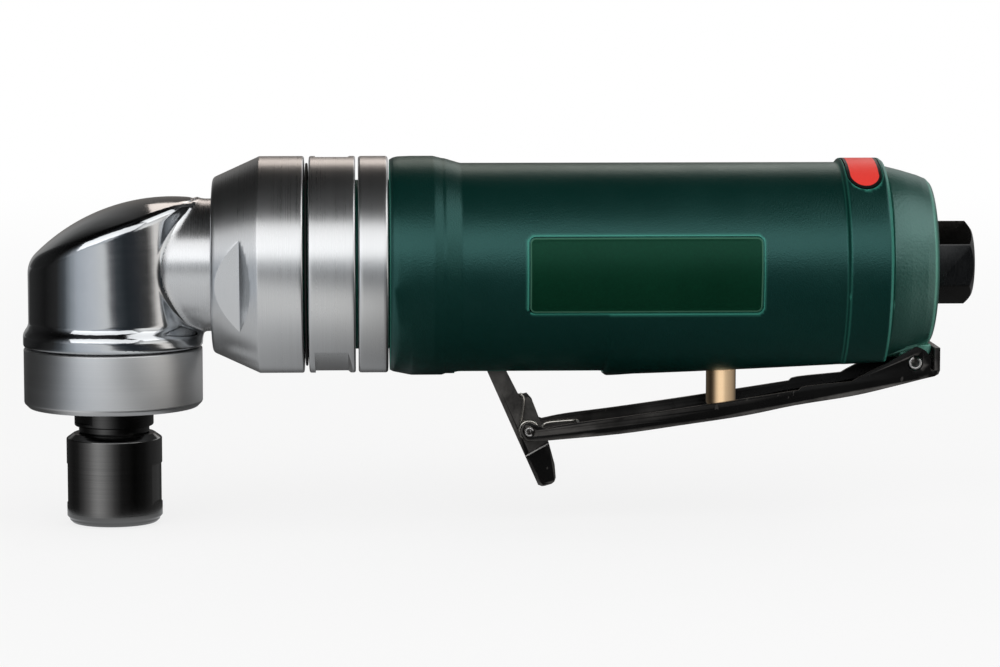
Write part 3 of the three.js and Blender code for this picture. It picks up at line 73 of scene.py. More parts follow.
# shapes are in millimetres from the point where the spindle's axis meets the motor's:
# x runs back along the motor, y across it to the far side, z up
toolOrigin = Vector((jointSpot["spindle_spin"].x, 0, jointSpot["rotor_spin"].z))
gap = 0.3  # between neighbouring pieces
throughAll = 20  # half the length of a drill across the tool


def spot(point):
    return toolOrigin + Vector(point) * mm


def inTool(place):
    return (Vector(place) - toolOrigin) / mm


def addObject(name, data):
    piece = bpy.data.objects.new(name, data)
    bpy.context.collection.objects.link(piece)
    return piece


def addMesh(name, points, edges, faces):
    mesh = bpy.data.meshes.new(name)
    mesh.from_pydata(points, edges, faces)
    return addObject(name, mesh)


def shade(piece, angle):
    piece.data.shade_smooth()
    piece.data.set_sharp_from_angle(angle=math.radians(angle))
    return piece


# merges doubled points and turns the faces outwards
def cleaned(piece, angle):
    work = bmesh.new()
    work.from_mesh(piece.data)
    bmesh.ops.remove_doubles(work, verts=work.verts, dist=1e-7)
    bmesh.ops.dissolve_degenerate(work, edges=work.edges, dist=1e-8)
    bmesh.ops.recalc_face_normals(work, faces=work.faces)
    work.to_mesh(piece.data)
    work.free()
    return shade(piece, angle)


def newPiece(name, points, faces, angle=32):
    return cleaned(addMesh(name, [spot(p) for p in points], [], faces), angle)


def bake(piece, angle=32):
    bpy.context.view_layer.update()
    graph = bpy.context.evaluated_depsgraph_get()
    mesh = bpy.data.meshes.new_from_object(piece.evaluated_get(graph))
    piece.modifiers.clear()
    piece.data = mesh
    return shade(piece, angle)


def combined(operation, piece, *others):
    for other in others:
        change = piece.modifiers.new(operation.lower(), "BOOLEAN")
        change.operation, change.solver, change.object = operation, "EXACT", other
    bake(piece)
    for other in others:
        bpy.data.objects.remove(other)
    return piece


cutAway, joined, within = (partial(combined, name) for name in (
    "DIFFERENCE", "UNION", "INTERSECT"))


def bevelled(piece, width, segments=3, limit=32, angle=32):
    change = piece.modifiers.new("edges", "BEVEL")
    change.width, change.segments, change.limit_method = width * mm, segments, "ANGLE"
    change.angle_limit = math.radians(limit)
    return bake(piece, angle)


# a profile's corner given as (radius, height, fillet) is rounded by an arc
def rounded(profile):
    out, steps = [], 5
    for i, corner in enumerate(profile):
        here = Vector(corner[:2])
        fillet = corner[2] if len(corner) > 2 else 0
        if not fillet:
            out.append(tuple(here))
            continue
        a = Vector(profile[i - 1][:2]) - here
        b = Vector(profile[(i + 1) % len(profile)][:2]) - here
        half = a.angle(b) / 2
        back = min(fillet / math.tan(half), 0.49 * a.length, 0.49 * b.length)
        radius = back * math.tan(half)
        centre = here + (a.normalized() + b.normalized()).normalized() * (radius / math.sin(half))
        start, end = here + a.normalized() * back - centre, here + b.normalized() * back - centre
        first = math.atan2(start.y, start.x)
        turn = (math.atan2(end.y, end.x) - first + math.pi) % (2 * math.pi) - math.pi
        for k in range(steps + 1):
            t = first + turn * k / steps
            out.append((centre.x + radius * math.cos(t), centre.y + radius * math.sin(t)))
    return out


def aboutX(y=0, z=0):
    return lambda u, v, along: (along, y + u, z + v)


def aboutY(x=0, z=0):
    return lambda u, v, along: (x + u, along, z + v)


def aboutZ(x=0, y=0):
    return lambda u, v, along: (x + u, y + v, along)


# faces between pairs of rings with the same number of points
def ringFaces(pairs, sides):
    return [(i * sides + k, i * sides + m, j * sides + m, j * sides + k)
            for i, j in pairs for k in range(sides) for m in [(k + 1) % sides]]


# a skin over rings of points, with a face at each end
def tube(name, rings):
    count, sides = len(rings), len(rings[0])
    faces = ringFaces([(i, i + 1) for i in range(count - 1)], sides)
    faces += [tuple(range(sides)), tuple(range((count - 1) * sides, count * sides))[::-1]]
    return newPiece(name, [p for ring in rings for p in ring], faces)


def turned(name, profile, about, sides=160, longest=None):
    rows = rounded(profile)
    if longest:
        rows = [(a[0] + (b[0] - a[0]) * k / n, a[1] + (b[1] - a[1]) * k / n)
                for a, b in zip(rows, rows[1:] + rows[:1])
                for n in [max(1, math.ceil(math.dist(a, b) / longest))] for k in range(n)]
    turn = [circle * k / sides for k in range(sides)]
    points = [about(r * math.cos(t), r * math.sin(t), along) for r, along in rows for t in turn]
    pairs = [(i, (i + 1) % len(rows)) for i in range(len(rows))]
    pairs = [(i, j) for i, j in pairs if max(rows[i][0], rows[j][0]) >= 1e-6]
    return newPiece(name, points, ringFaces(pairs, sides))


# fillets are soft on the inside and edge on the outside
def washer(name, inner, outer, low, high, soft, edge, about, sides, longest=None):
    return turned(name, [(inner, low, soft), (outer, low, edge), (outer, high, edge),
                         (inner, high, soft)], about, sides, longest)


def rod(name, radius, low, high, about, sides):
    return turned(name, [(0, low), (radius, low), (radius, high), (0, high)], about, sides)


# an outline of (u, v) points carried along an axis from low to high
def slab(name, outline, low, high, about=aboutY()):
    n = len(outline)
    points = [about(u, v, along) for along in (low, high) for u, v in outline]
    faces = [tuple(range(n)), tuple(range(2 * n - 1, n - 1, -1))]
    faces += [(i, (i + 1) % n, n + (i + 1) % n, n + i) for i in range(n)]
    return newPiece(name, points, faces)


# the same slab on both sides of the tool
def slabPair(name, outline, inner, outer):
    return [slab(f"{name}{i}", outline, *sorted((side * inner, side * outer)))
            for i, side in enumerate((-1, 1))]


def block(name, low, high):
    return slab(name, [(low[0], low[2]), (high[0], low[2]), (high[0], high[2]), (low[0], high[2])],
                low[1], high[1])


def arc(x, z, radius, start, end, steps):
    turn = [math.radians(start + (end - start) * k / steps) for k in range(steps + 1)]
    return [(x + radius * math.cos(t), z + radius * math.sin(t)) for t in turn]


def spun(piece, axis, degrees):
    u, v = (1, 2) if axis == "x" else (0, 1)
    c, s = math.cos(math.radians(degrees)), math.sin(math.radians(degrees))
    for vertex in piece.data.vertices:
        p = inTool(vertex.co)
        p[u], p[v] = p[u] * c - p[v] * s, p[u] * s + p[v] * c
        vertex.co = spot(p)
    return piece


def addNode(tree, kind, inputs=None, **settings):
    node = tree.nodes.new(kind)
    for key, value in settings.items():
        setattr(node, key, value)
    for key, value in (inputs or {}).items():
        socket = node.inputs[key]
        if isinstance(value, bpy.types.NodeSocket):
            tree.links.new(value, socket)
        elif socket.type == "RGBA" and len(value) == 3:
            socket.default_value = (*value, 1)
        else:
            socket.default_value = value
    return node


def treeOf(*values):
    return next(v.id_data for v in values if isinstance(v, bpy.types.NodeSocket))


def maths(operation, *values, clamp=False):
    return addNode(treeOf(*values), "ShaderNodeMath", dict(enumerate(values)),
                   operation=operation, use_clamp=clamp).outputs[0]


plus, minus, times, over, higher, lower = (partial(maths, name) for name in (
    "ADD", "SUBTRACT", "MULTIPLY", "DIVIDE", "MAXIMUM", "MINIMUM"))


def grey(value):
    return (value, value, value)


def mixed(factor, a, b, blend="MIX"):
    return addNode(treeOf(factor, a, b), "ShaderNodeMix", {0: factor, 6: a, 7: b},
                   data_type="RGBA", blend_type=blend).outputs[2]


def vectorMaths(operation, a, b=(0, 0, 0)):
    return addNode(a.id_data, "ShaderNodeVectorMath", {0: a, 1: b}, operation=operation).outputs


def noise(place, scale, detail, roughness=0.5, distortion=0.0, **settings):
    return addNode(place.id_data, "ShaderNodeTexNoise", {
        "Vector": place, "Scale": scale, "Detail": detail, "Roughness": roughness,
        "Distortion": distortion}, **settings).outputs[0]


def mapped(place, changes):
    return addNode(place.id_data, "ShaderNodeMapping", {"Vector": place, **changes}).outputs[0]


def axes(place):
    return addNode(place.id_data, "ShaderNodeSeparateXYZ", {0: place}).outputs


def rampNode(factor, stops):
    ramp = addNode(factor.id_data, "ShaderNodeValToRGB", {0: factor})
    band = ramp.color_ramp
    while len(band.elements) < len(stops):
        band.elements.new(0.5)
    for element, (place, colour) in zip(band.elements, stops):
        colour = colour if isinstance(colour, tuple) else grey(colour)
        element.position, element.color = place, (*colour, 1)
    return ramp.outputs["Color"]


number, vector = "NodeSocketFloat", "NodeSocketVector"
count, shape, coating = "NodeSocketInt", "NodeSocketGeometry", "NodeSocketMaterial"


# a node group; a socket is its label with its kind and value, and draw turns inputs to outputs
def nodeGroup(name, kind, inputs, outputs, draw):
    tree = bpy.data.node_groups.new(name, kind)
    for way, sockets in (("INPUT", inputs), ("OUTPUT", outputs)):
        for label, (socketKind, *value) in sockets.items():
            socket = tree.interface.new_socket(label, in_out=way, socket_type=socketKind)
            if value:
                socket.default_value = value[0]
    source, result = tree.nodes.new("NodeGroupInput"), tree.nodes.new("NodeGroupOutput")
    for value, socket in zip(draw(*source.outputs[:len(inputs)]), result.inputs):
        tree.links.new(value, socket)
    return tree


def shaderGroup(name, inputs, outputs, draw):
    return nodeGroup(name, "ShaderNodeTree", {"Place": (vector,), **{
        label: (number, value) for label, value in inputs.items()}},
        {label: (number,) for label in outputs}, draw)


def useGroup(group, *values):
    return addNode(treeOf(*values), "ShaderNodeGroup", dict(enumerate(values)),
                   node_tree=group).outputs


# moulded or blasted grain: fine bumps with a slow change in how shiny they are
def drawGrain(place, size, patchiness):
    scale = over(1 / mm, size)
    cells = addNode(place.id_data, "ShaderNodeTexVoronoi", {
        "Vector": place, "Scale": times(scale, 0.7)}, feature="SMOOTH_F1")
    height = times(plus(noise(place, scale, 2.0, 0.6), cells.outputs["Distance"]), 0.5)
    return height, times(minus(noise(place, 90.0, 3.0, 0.55), 0.5), patchiness)


# marks of a lathe tool, as fine rings about the z axis of the place that it is given
def drawTurned(place, pitch):
    tree, (x, y, z) = place.id_data, axes(place)
    level = addNode(tree, "ShaderNodeCombineXYZ", {"X": x, "Y": y}).outputs[0]
    across = vectorMaths("LENGTH", level)["Value"]
    scale = over(1 / mm, pitch)
    lines = addNode(tree, "ShaderNodeCombineXYZ", {
        "X": times(across, scale), "Y": times(z, scale)}).outputs[0]
    fine = noise(lines, 1.0, 3.0, 0.7, noise_dimensions="2D")
    broad = noise(lines, 0.12, 2.0, 0.6, noise_dimensions="2D")
    return fine, plus(minus(fine, 0.5), times(minus(broad, 0.5), 0.35))


# handling marks: soft smears and a few hairline scratches
def drawHandling(place, smear, scratch):
    hairs = [noise(mapped(place, {"Rotation": turn, "Scale": stretch}), 1.0, 1.0, 0.4)
             for turn, stretch in (((0.3, 0.5, 0.2), (900, 40, 500)),
                                   ((1.1, -0.4, 0.9), (35, 800, 600)))]
    thin = higher(*[maths("GREATER_THAN", hair, 0.74) for hair in hairs])
    return minus(noise(place, smear, 4.0, 0.6, 0.6), 0.5), times(thin, scratch)


# how far inside a rounded outline a place is: across is x, and along is y or z
def drawOutline(place, upright, middleX, middleAlong, halfX, halfAlong, corner):
    x, y, z = axes(place)
    along = addNode(place.id_data, "ShaderNodeMix", {0: upright, 2: y, 3: z},
                    data_type="FLOAT").outputs[0]
    beyond = [minus(maths("ABSOLUTE", minus(value, middle)), minus(half, corner))
              for value, middle, half in ((x, middleX, halfX), (along, middleAlong, halfAlong))]
    outer = [higher(q, 0.0) for q in beyond]
    reach = plus(maths("SQRT", plus(*[times(q, q) for q in outer])),
                 lower(higher(*beyond), 0.0))
    return [minus(corner, reach)]


# a thin line round the motor's axis at one place along it, where a highlight is painted
def drawLine(place, along, halfWidth):
    away = maths("ABSOLUTE", minus(axes(place)[0], along))
    return [minus(1.0, over(away, halfWidth), clamp=True)]


heightAndShine = ("Height", "Shine")
grain = shaderGroup("grain", {"Size": 0.3, "Patchiness": 0.5}, heightAndShine, drawGrain)
turnedMarks = shaderGroup("turnedMarks", {"Pitch": 0.15}, heightAndShine, drawTurned)
handling = shaderGroup("handling", {"Smear": 60.0, "Scratch": 0.5}, ("Smears", "Scratches"),
                       drawHandling)
insideOutline = shaderGroup("insideOutline", {
    "Upright": 0.0, "Centre Across": 0.0, "Centre Along": 0.0, "Half Across": 1.0,
    "Half Along": 1.0, "Corner": 0.0}, ("Inside",), drawOutline)
edgeLine = shaderGroup("edgeLine", {"Along": 0.0, "Half Width": 1.0}, ("Line",), drawLine)


def clearTree(owner):
    owner.use_nodes = True
    owner.node_tree.nodes.clear()
    return owner.node_tree


def startMaterial(name):
    material = bpy.data.materials.new(name)
    return material, addNode(clearTree(material), "ShaderNodeTexCoord").outputs["Object"]


# uneven is how the roughness varies over the surface
def coated(material, s, base, uneven, height, settings):
    tree = material.node_tree
    bump = addNode(tree, "ShaderNodeBump", {
        "Height": height, "Strength": s["bump"], "Distance": s["bumpDepth"] * mm})
    rough = plus(times(uneven, s["roughVary"]), s["roughness"], clamp=True)
    shader = addNode(tree, "ShaderNodeBsdfPrincipled", {
        "Base Color": base, "Roughness": rough, "Normal": bump.outputs[0], **settings})
    addNode(tree, "ShaderNodeOutputMaterial", {"Surface": shader.outputs[0]})
    return material


# where an edge sticks out, from a pointiness up
def edgesOf(material, start, gain):
    pointed = addNode(material.node_tree, "ShaderNodeNewGeometry").outputs["Pointiness"]
    return times(minus(pointed, start), gain, clamp=True)


# the marks run about an axis through the tool's origin or through the given point
def turnedMetal(name, s):
    material, place = startMaterial(name)
    about = mapped(place, {"Location": tuple(-c for c in spot(s.get("through", (0, 0, 0))))})
    if s["axis"] != "z":
        turn = (0, math.pi / 2, 0) if s["axis"] == "x" else (math.pi / 2, 0, 0)
        about = mapped(about, {"Rotation": turn})
    height, shine = useGroup(turnedMarks, about, s["pitch"])
    smears, scratches = useGroup(handling, place, 70.0, 0.08)
    base = mixed(plus(times(shine, 0.9), 0.5, clamp=True), s["darker"], s["colour"])
    return coated(material, s, base, plus(plus(smears, shine), scratches), height,
                  {"Metallic": 1.0})


def polishedMetal(name, s):
    material, place = startMaterial(name)
    smears = useGroup(handling, place, 85.0)[0]
    brush = noise(mapped(place, {"Scale": s["brushScale"]}), 1.0, 4.0, 0.65)
    base = mixed(plus(times(smears, 0.8), 0.6, clamp=True), s["darker"], s["colour"])
    height = plus(times(brush, 0.12), noise(place, s["waveScale"], 1.0))
    return coated(material, s, base, plus(smears, minus(brush, 0.5)), height, {"Metallic": 1.0})


def mouldedPlastic(name, s):
    material, place = startMaterial(name)
    height, shine = useGroup(grain, place, s["grainSize"], 1.0)
    smears = useGroup(handling, place, 45.0)[0]
    tone = plus(times(height, 0.7), times(smears, 0.5), clamp=True)
    base = mixed(tone, s["darker"], s["colour"])
    # painted highlight: a lighter colour on sharp edges and on thin lines round the band's and cap's edges
    if "edge" in s:
        edge = edgesOf(material, 0.52, 5.0)
        for along, halfWidth, strength in s["lines"]:
            line = useGroup(edgeLine, place, spot((along, 0, 0)).x, halfWidth * mm)[0]
            edge = higher(edge, times(line, strength))
        base = mixed(edge, base, s["edge"])
    if "rim" in s:
        (x, along), upright, soft = s["middle"], s["upright"], 0.06 * mm
        inside = useGroup(insideOutline, place, upright, spot((x, 0, 0)).x,
                          along * mm + upright * toolOrigin.z, *[c * mm for c in s["half"]],
                          s["corner"] * mm)[0]
        rim = over(minus(s["rim"] * mm, inside), soft, clamp=True)
        base = mixed(rim, base, s["rimColour"])
    return coated(material, s, base, plus(shine, smears), height, {
        "IOR": s["ior"], "Specular Tint": s.get("shineTint", (1, 1, 1))})


def paintedSteel(name, s):
    material, place = startMaterial(name)
    height, shine = useGroup(grain, place, s["grainSize"], 1.0)
    smears, scratches = useGroup(handling, place, 80.0, 1.0)
    worn = times(edgesOf(material, 0.54, 12.0), plus(times(smears, 2.0), 0.5, clamp=True))
    worn = higher(worn, times(scratches, 0.3))
    base = mixed(plus(shine, 0.5, clamp=True), s["darker"], s["colour"])
    base = mixed(times(worn, s["wear"]), base, s["bare"])
    return coated(material, s, base, plus(shine, smears), height,
                  {"Specular IOR Level": s["shine"]})


common = ("colour", "darker", "roughness", "roughVary", "bump", "bumpDepth")
# kind, names of the further columns, rows
finishTables = (
    (turnedMetal, ("pitch", "axis", "through"), {
        "neckSatin": ((0.7, 0.705, 0.71), (0.6, 0.605, 0.615), 0.27, 0.12, 0.25, 0.012, 0.12, "x"),
        "ringSatin": ((0.7, 0.705, 0.71), (0.61, 0.615, 0.62), 0.29, 0.08, 0.12, 0.01, 0.11, "x"),
        "capSatin": ((0.68, 0.685, 0.69), (0.59, 0.595, 0.6), 0.4, 0.09, 0.22, 0.012, 0.11, "z"),
        "bareSteel": ((0.5, 0.51, 0.53), (0.4, 0.405, 0.42), 0.36, 0.12, 0.25, 0.02, 0.3, "x"),
        "colletSteel": ((0.3, 0.3, 0.31), (0.2, 0.2, 0.21), 0.34, 0.12, 0.25, 0.02, 0.2, "z"),
        "nutBlack": ((0.25, 0.248, 0.245), grey(0.15), 0.15, 0.1, 0.22, 0.02, 0.16, "z"),
        "spindleBlack": (grey(0.1), grey(0.06), 0.2, 0.08, 0.15, 0.02, 0.3, "z"),
        "inletBlack": (grey(0.085), grey(0.045), 0.24, 0.12, 0.25, 0.02, 0.3, "x"),
        "brassTurned": ((0.98, 0.73, 0.46), (0.92, 0.63, 0.37), 0.22, 0.12, 0.2, 0.012, 0.12, "z",
                        (133.6, 0, 0)),
        "foldBright": ((0.95, 0.93, 0.9), (0.8, 0.78, 0.75), 0.5, 0.12, 0.1, 0.02, 0.2, "z"),
        "pinSteel": ((0.8, 0.79, 0.77), (0.6, 0.59, 0.58), 0.45, 0.12, 0.25, 0.02, 0.2, "y")}),
    (polishedMetal, ("brushScale", "waveScale"), {
        "headPolish": ((0.64, 0.655, 0.67), (0.5, 0.52, 0.54), 0.09, 0.14, 0.2, 0.09,
                       (70, 70, 2600), 210.0),
        "wireSteel": ((0.74, 0.71, 0.66), (0.6, 0.57, 0.52), 0.24, 0.1, 0.05, 0.02,
                      (400, 400, 400), 300.0)}),
    (mouldedPlastic, ("grainSize", "ior"), {
        "darkGreen": ((0.0003, 0.0255, 0.0195), (0.0001, 0.0145, 0.011), 0.33, 0.12, 0.8, 0.065,
                      0.23, 1.7),
        "capGreen": ((0.006, 0.055, 0.041), (0.003, 0.037, 0.027), 0.37, 0.12, 0.7, 0.09,
                     0.42, 2.1),
        "plateGreen": ((0.0008, 0.038, 0.0155), (0.0002, 0.012, 0.0045), 0.4, 0.1, 0.15, 0.02,
                       0.34, 1.4),
        "labelRed": ((0.9, 0.05, 0.034), (0.76, 0.034, 0.024), 0.42, 0.12, 0.1, 0.02, 0.25, 1.4),
        "rubber": (grey(0.008), grey(0.004), 0.6, 0.1, 0.3, 0.04, 0.4, 1.4),
        "felt": ((0.34, 0.33, 0.3), (0.2, 0.19, 0.17), 0.95, 0.05, 0.9, 0.3, 0.5, 1.35),
        "composite": ((0.16, 0.09, 0.045), (0.1, 0.055, 0.028), 0.6, 0.1, 0.4, 0.05, 0.6, 1.5)}),
    (paintedSteel, ("grainSize", "shine", "wear", "bare"), {
        "leverBlack": ((0.0046, 0.0044, 0.0042), (0.0022, 0.0021, 0.002), 0.27, 0.16, 0.25, 0.04,
                       0.45, 0.2, 0.5, (0.22, 0.21, 0.2))}))
# edge and lines paint highlights into the colour, on sharp edges and on lines that are (place along the tool, half
# width, strength)
extras = {
    "darkGreen": {"shineTint": (0.4, 1.0, 0.94), "edge": (0.03, 0.19, 0.14),
                  "lines": [(168.05, 0.42, 0.9), (159.25, 0.35, 0.35), (158.6, 0.3, 0.25)]},
    "capGreen": {"shineTint": (0.62, 1.0, 0.94), "edge": (0.09, 0.30, 0.22),
                 "lines": [(178.25, 0.5, 0.8)]},
    "plateGreen": {"shineTint": (0.3, 1.0, 0.7), "upright": 1.0, "middle": (115.375, -0.75),
                   "half": (24.925, 8.05), "corner": 1.2, "rim": 0.34,
                   "rimColour": (0.035, 0.10, 0.065)},
    "labelRed": {"upright": 0.0, "middle": (163.375, 0.0), "half": (3.7, 15.2), "corner": 3.7,
                 "rim": 0.62, "rimColour": (0.003, 0.004, 0.004)}}
finish = {name: make(name, {**dict(zip(common + further, row)), **extras.get(name, {})})
          for make, further, rows in finishTables for name, row in rows.items()}
print("finishes made,", len(finish))

slotFinish = {
    "polished_metal": "headPolish", "satin_steel": "ringSatin", "black_steel": "spindleBlack",
    "bare_steel": "bareSteel", "dark_green": "darkGreen", "cap_green": "capGreen",
    "plate_green": "plateGreen", "label_red": "labelRed", "brass": "brassTurned",
    "rubber": "rubber", "felt": "felt", "composite": "composite"}
for part in frame["record"]["subparts"]:
    piece = frame["nodes"][part["node"]]
    for place in piece.material_slots:
        place.material = finish[slotFinish[part["material_slot"]]]


def finished(piece, node, body, materials):
    piece.data.materials.clear()
    for name in materials if isinstance(materials, (list, tuple)) else [materials]:
        piece.data.materials.append(finish[name])
    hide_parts(*([node] if isinstance(node, str) else node))
    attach(piece, body)
    return piece


# copies round an axis and wire along a path, as geometry nodes
def realized(node, coat):
    whole = addNode(coat.id_data, "GeometryNodeRealizeInstances", {0: node.outputs[0]})
    return addNode(coat.id_data, "GeometryNodeSetMaterial", {
        "Geometry": whole.outputs[0], "Material": coat}).outputs


def drawCopies(piece, number, axis, centre, coat):
    tree = piece.id_data
    line = addNode(tree, "GeometryNodeMeshLine", {
        "Count": number, "Start Location": centre, "Offset": (0, 0, 0)}, mode="OFFSET")
    order = addNode(tree, "GeometryNodeInputIndex").outputs[0]
    turn = addNode(tree, "FunctionNodeAxisAngleToRotation", {
        "Axis": axis, "Angle": times(order, over(circle, number))})
    back = addNode(tree, "ShaderNodeVectorMath", {0: centre, "Scale": -1.0}, operation="SCALE")
    centred = addNode(tree, "GeometryNodeTransform", {
        "Geometry": piece, "Translation": back.outputs[0]})
    return realized(addNode(tree, "GeometryNodeInstanceOnPoints", {
        "Points": line.outputs[0], "Instance": centred.outputs[0],
        "Rotation": turn.outputs[0]}), coat)


def drawWire(piece, radius, sides, coat):
    tree = piece.id_data
    path = addNode(tree, "GeometryNodeMeshToCurve", {0: piece})
    ring = addNode(tree, "GeometryNodeCurvePrimitiveCircle", {
        "Resolution": sides, "Radius": radius}, mode="RADIUS")
    return realized(addNode(tree, "GeometryNodeCurveToMesh", {
        "Curve": path.outputs[0], "Profile Curve": ring.outputs[0], "Fill Caps": True}), coat)


copiesAbout, wireAlong = (nodeGroup(name, "GeometryNodeTree", {
    "Geometry": (shape,), **inputs, "Finish": (coating,)}, {"Geometry": (shape,)}, draw)
    for name, inputs, draw in (
        ("copiesAbout", {"Count": (count, 8), "Axis": (vector, (1, 0, 0)),
                         "Centre": (vector, (0, 0, 0))}, drawCopies),
        ("wireAlong", {"Radius": (number, 0.0003), "Sides": (count, 14)}, drawWire)))


def runTree(piece, tree, values, angle=32):
    change = piece.modifiers.new(tree.name, "NODES")
    change.node_group = tree
    for item in tree.interface.items_tree:
        if item.in_out == "INPUT" and item.name in values:
            change[item.identifier] = values[item.name]
    return bake(piece, angle)


def copies(piece, number, axis, material):
    return runTree(piece, copiesAbout, {
        "Count": number, "Axis": axis, "Centre": tuple(toolOrigin), "Finish": finish[material]})


# a smooth run of points through the given ones
def smoothPath(points, between=8):
    points = [Vector(p) for p in points]
    ends = [2 * points[0] - points[1]] + points + [2 * points[-1] - points[-2]]
    out = []
    for i in range(1, len(ends) - 2):
        a, b, c, d = ends[i - 1:i + 3]
        for k in range(between):
            t = k / between
            out.append(0.5 * (2 * b + (c - a) * t + (2 * a - 5 * b + 4 * c - d) * t ** 2
                              + (3 * b - a - 3 * c + d) * t ** 3))
    return out + [points[-1]]


def wire(name, path, radius, sides):
    piece = addMesh(name, [spot(p) for p in path], [(i, i + 1) for i in range(len(path) - 1)], [])
    runTree(piece, wireAlong, {
        "Radius": radius * mm, "Sides": sides, "Finish": finish["wireSteel"]}, 50)
    return cleaned(piece, 50)


# camera, floor and light
view = {"lensMm": 126.1, "sensorMm": 36.0, "eye": (-30.4, -765.6, 82.8), "look": (0.4, 0.0, 0.99),
        "clip": (0.01, 60)}
eye, look = Vector(view["eye"]) * mm, Vector(view["look"]) * mm
lens = bpy.data.cameras.new("camera")
lens.lens, lens.sensor_width, lens.sensor_fit = view["lensMm"], view["sensorMm"], "HORIZONTAL"
lens.clip_start, lens.clip_end = view["clip"]
camera = addObject("camera", lens)
camera.location = eye
camera.rotation_euler = (look - eye).to_track_quat("-Z", "Y").to_euler()
bpy.context.scene.camera = camera

studio = {
    "floorHalf": 12.0, "floorColour": 0.82, "floorGlow": 0.8, "fadeStart": 0.2, "fadeEnd": 1.2,
    "worldDiffuse": 0.48, "backdrop": 1.0,
    # how bright shiny parts see their surroundings: by degrees round from the camera's side,
    # negative past the head, and by the sine of the height
    "round": [(-180, (0.15, 0.135, 0.125)), (-172, (0.2, 0.19, 0.18)), (-163, (0.35, 0.345, 0.34)),
              (-156, (0.3, 0.3, 0.295)), (-149, 0.07), (-134, 0.03),
              (-112, 0.02), (-88, 0.012), (-79, 0.03), (-67, (0.10, 0.11, 0.12)),
              (-58, (0.36, 0.38, 0.41)), (-45, (0.58, 0.62, 0.67)), (-30, (0.71, 0.75, 0.79)),
              (-12, (0.64, 0.67, 0.70)), (0, (0.55, 0.57, 0.59)), (9, (0.14, 0.16, 0.18)),
              (15, (0.045, 0.055, 0.066)), (31, (0.033, 0.037, 0.042)), (37, (0.75, 0.76, 0.76)),
              (44, (1.2, 1.2, 1.18)), (60, (1.2, 1.18, 1.15)), (82, (1.0, 0.97, 0.93)),
              (92, 0.2), (104, 0.12), (122, 0.42), (140, 0.5),
              (156, (0.36, 0.35, 0.34)), (168, (0.2, 0.185, 0.17)), (180, (0.15, 0.135, 0.125))],
    # the same for the floor, which shiny parts see as a glowing painted reflection, about a place behind the tool
    "floorCentre": (0.0, 0.05), "floorRound": [
        (-180, 0.3), (-152, 0.3), (-138, 0.04), (-94, 0.012),
        (-74, 0.03), (-63, (0.09, 0.10, 0.11)),
        (-54, (0.34, 0.37, 0.40)), (-45.5, (0.55, 0.59, 0.64)), (-28.5, (0.72, 0.75, 0.79)),
        (-14, (0.82, 0.83, 0.83)), (-10.5, (0.7, 0.71, 0.71)), (-8, (0.38, 0.385, 0.385)),
        (-5, (0.17, 0.17, 0.18)), (0.7, (0.06, 0.069, 0.077)), (12.7, (0.024, 0.03, 0.035)),
        (26.7, (0.033, 0.037, 0.042)), (44, (0.07, 0.068, 0.066)), (50, (0.3, 0.285, 0.27)),
        (57, (1.0, 0.95, 0.9)), (65, (1.0, 0.95, 0.9)), (74, 0.16), (92, 0.1),
        (120, 0.3), (142, 0.46), (165, 0.36), (180, 0.3)],
    # the same close to the tool, and where along it the silver rings give way to the plastic, past which the
    # reflected floor is painted dark as painted shade on the plastic
    "floorNear": [
        (-180, 0.15), (-96, 0.06), (-80, 0.24), (-65, (0.47, 0.48, 0.49)),
        (-28.5, (0.69, 0.7, 0.71)), (-14, (0.83, 0.83, 0.82)), (70, (0.8, 0.8, 0.79)),
        (100, 0.4), (180, 0.2)],
    "plasticFrom": (-0.0225, -0.0185), "plasticShare": 0.09,
    # by distance from the middle: where near gives way to round, and the painted shadow that darkens the reflected
    # floor at the tool's foot
    "nearUntil": (0.11, 0.21), "footShade": (0.025, 0.1, 0.22),
    # a dark card across the tool's line, seen only by shiny parts: painted shade that keeps the silver rings'
    # floor out of the plastic's reflection
    "collarCard": {"along": -0.0238, "out": 0.25, "under": 0.0245, "low": -0.0402,
                   "high": 0.0125, "middle": -0.0082, "glow": 0.03},
    # cards that only shiny parts see, curved about the nut and about the brass stem, glowing with painted
    # reflections
    "nutCard": {"centre": (-0.0844, 0.0), "low": -0.0402, "high": -0.0168, "radius": 0.024,
                "stops": [(-180, 0.04), (-122, 0.05), (-90, 0.03),
                          (-76, 0.045), (-62, 0.15), (-48, 0.36),
                          (-36, 0.72), (-28, 0.86), (-18, 0.7), (-8, 0.42),
                          (4, 0.15), (16, 0.03), (42, 0.004), (65, 0.02),
                          (85, 0.07), (110, 0.1), (180, 0.04)]},
    "stemCard": {"centre": (0.0492, 0.0), "low": -0.0175, "high": -0.0072, "radius": 0.0046,
                 "stops": [(-180, 0.04), (-95, 0.06), (-65, 0.02),
                           (-52, 0.04), (-44, 0.11), (-36, 0.3),
                           (-28, 0.6), (-14, 0.94), (3, 0.94), (11, 0.76),
                           (18, 0.58), (35, 0.44), (55, 0.33), (85, 0.14),
                           (105, 0.05), (180, 0.05)]},
    "height": [(0.0, 1.0), (0.3, 0.74), (0.5, 0.38), (0.66, 0.17), (0.8, 0.05), (0.92, 0.02)]}


def allRound(way, stops):
    x, y, _ = axes(way)
    turn = maths("ARCTAN2", x, times(y, -1.0))
    share = plus(times(turn, 0.5 / math.pi), 0.5)
    return rampNode(share, [(degrees / 360 + 0.5, colour) for degrees, colour in stops])


def seenBy(rays):
    return higher(rays["Is Camera Ray"], rays["Is Transmission Ray"])


def shaderMix(tree, factor, first, second):
    return addNode(tree, "ShaderNodeMixShader", {0: factor, 1: first, 2: second}).outputs[0]


def glowing(tree, colour):
    return addNode(tree, "ShaderNodeEmission", {"Color": colour}).outputs[0]


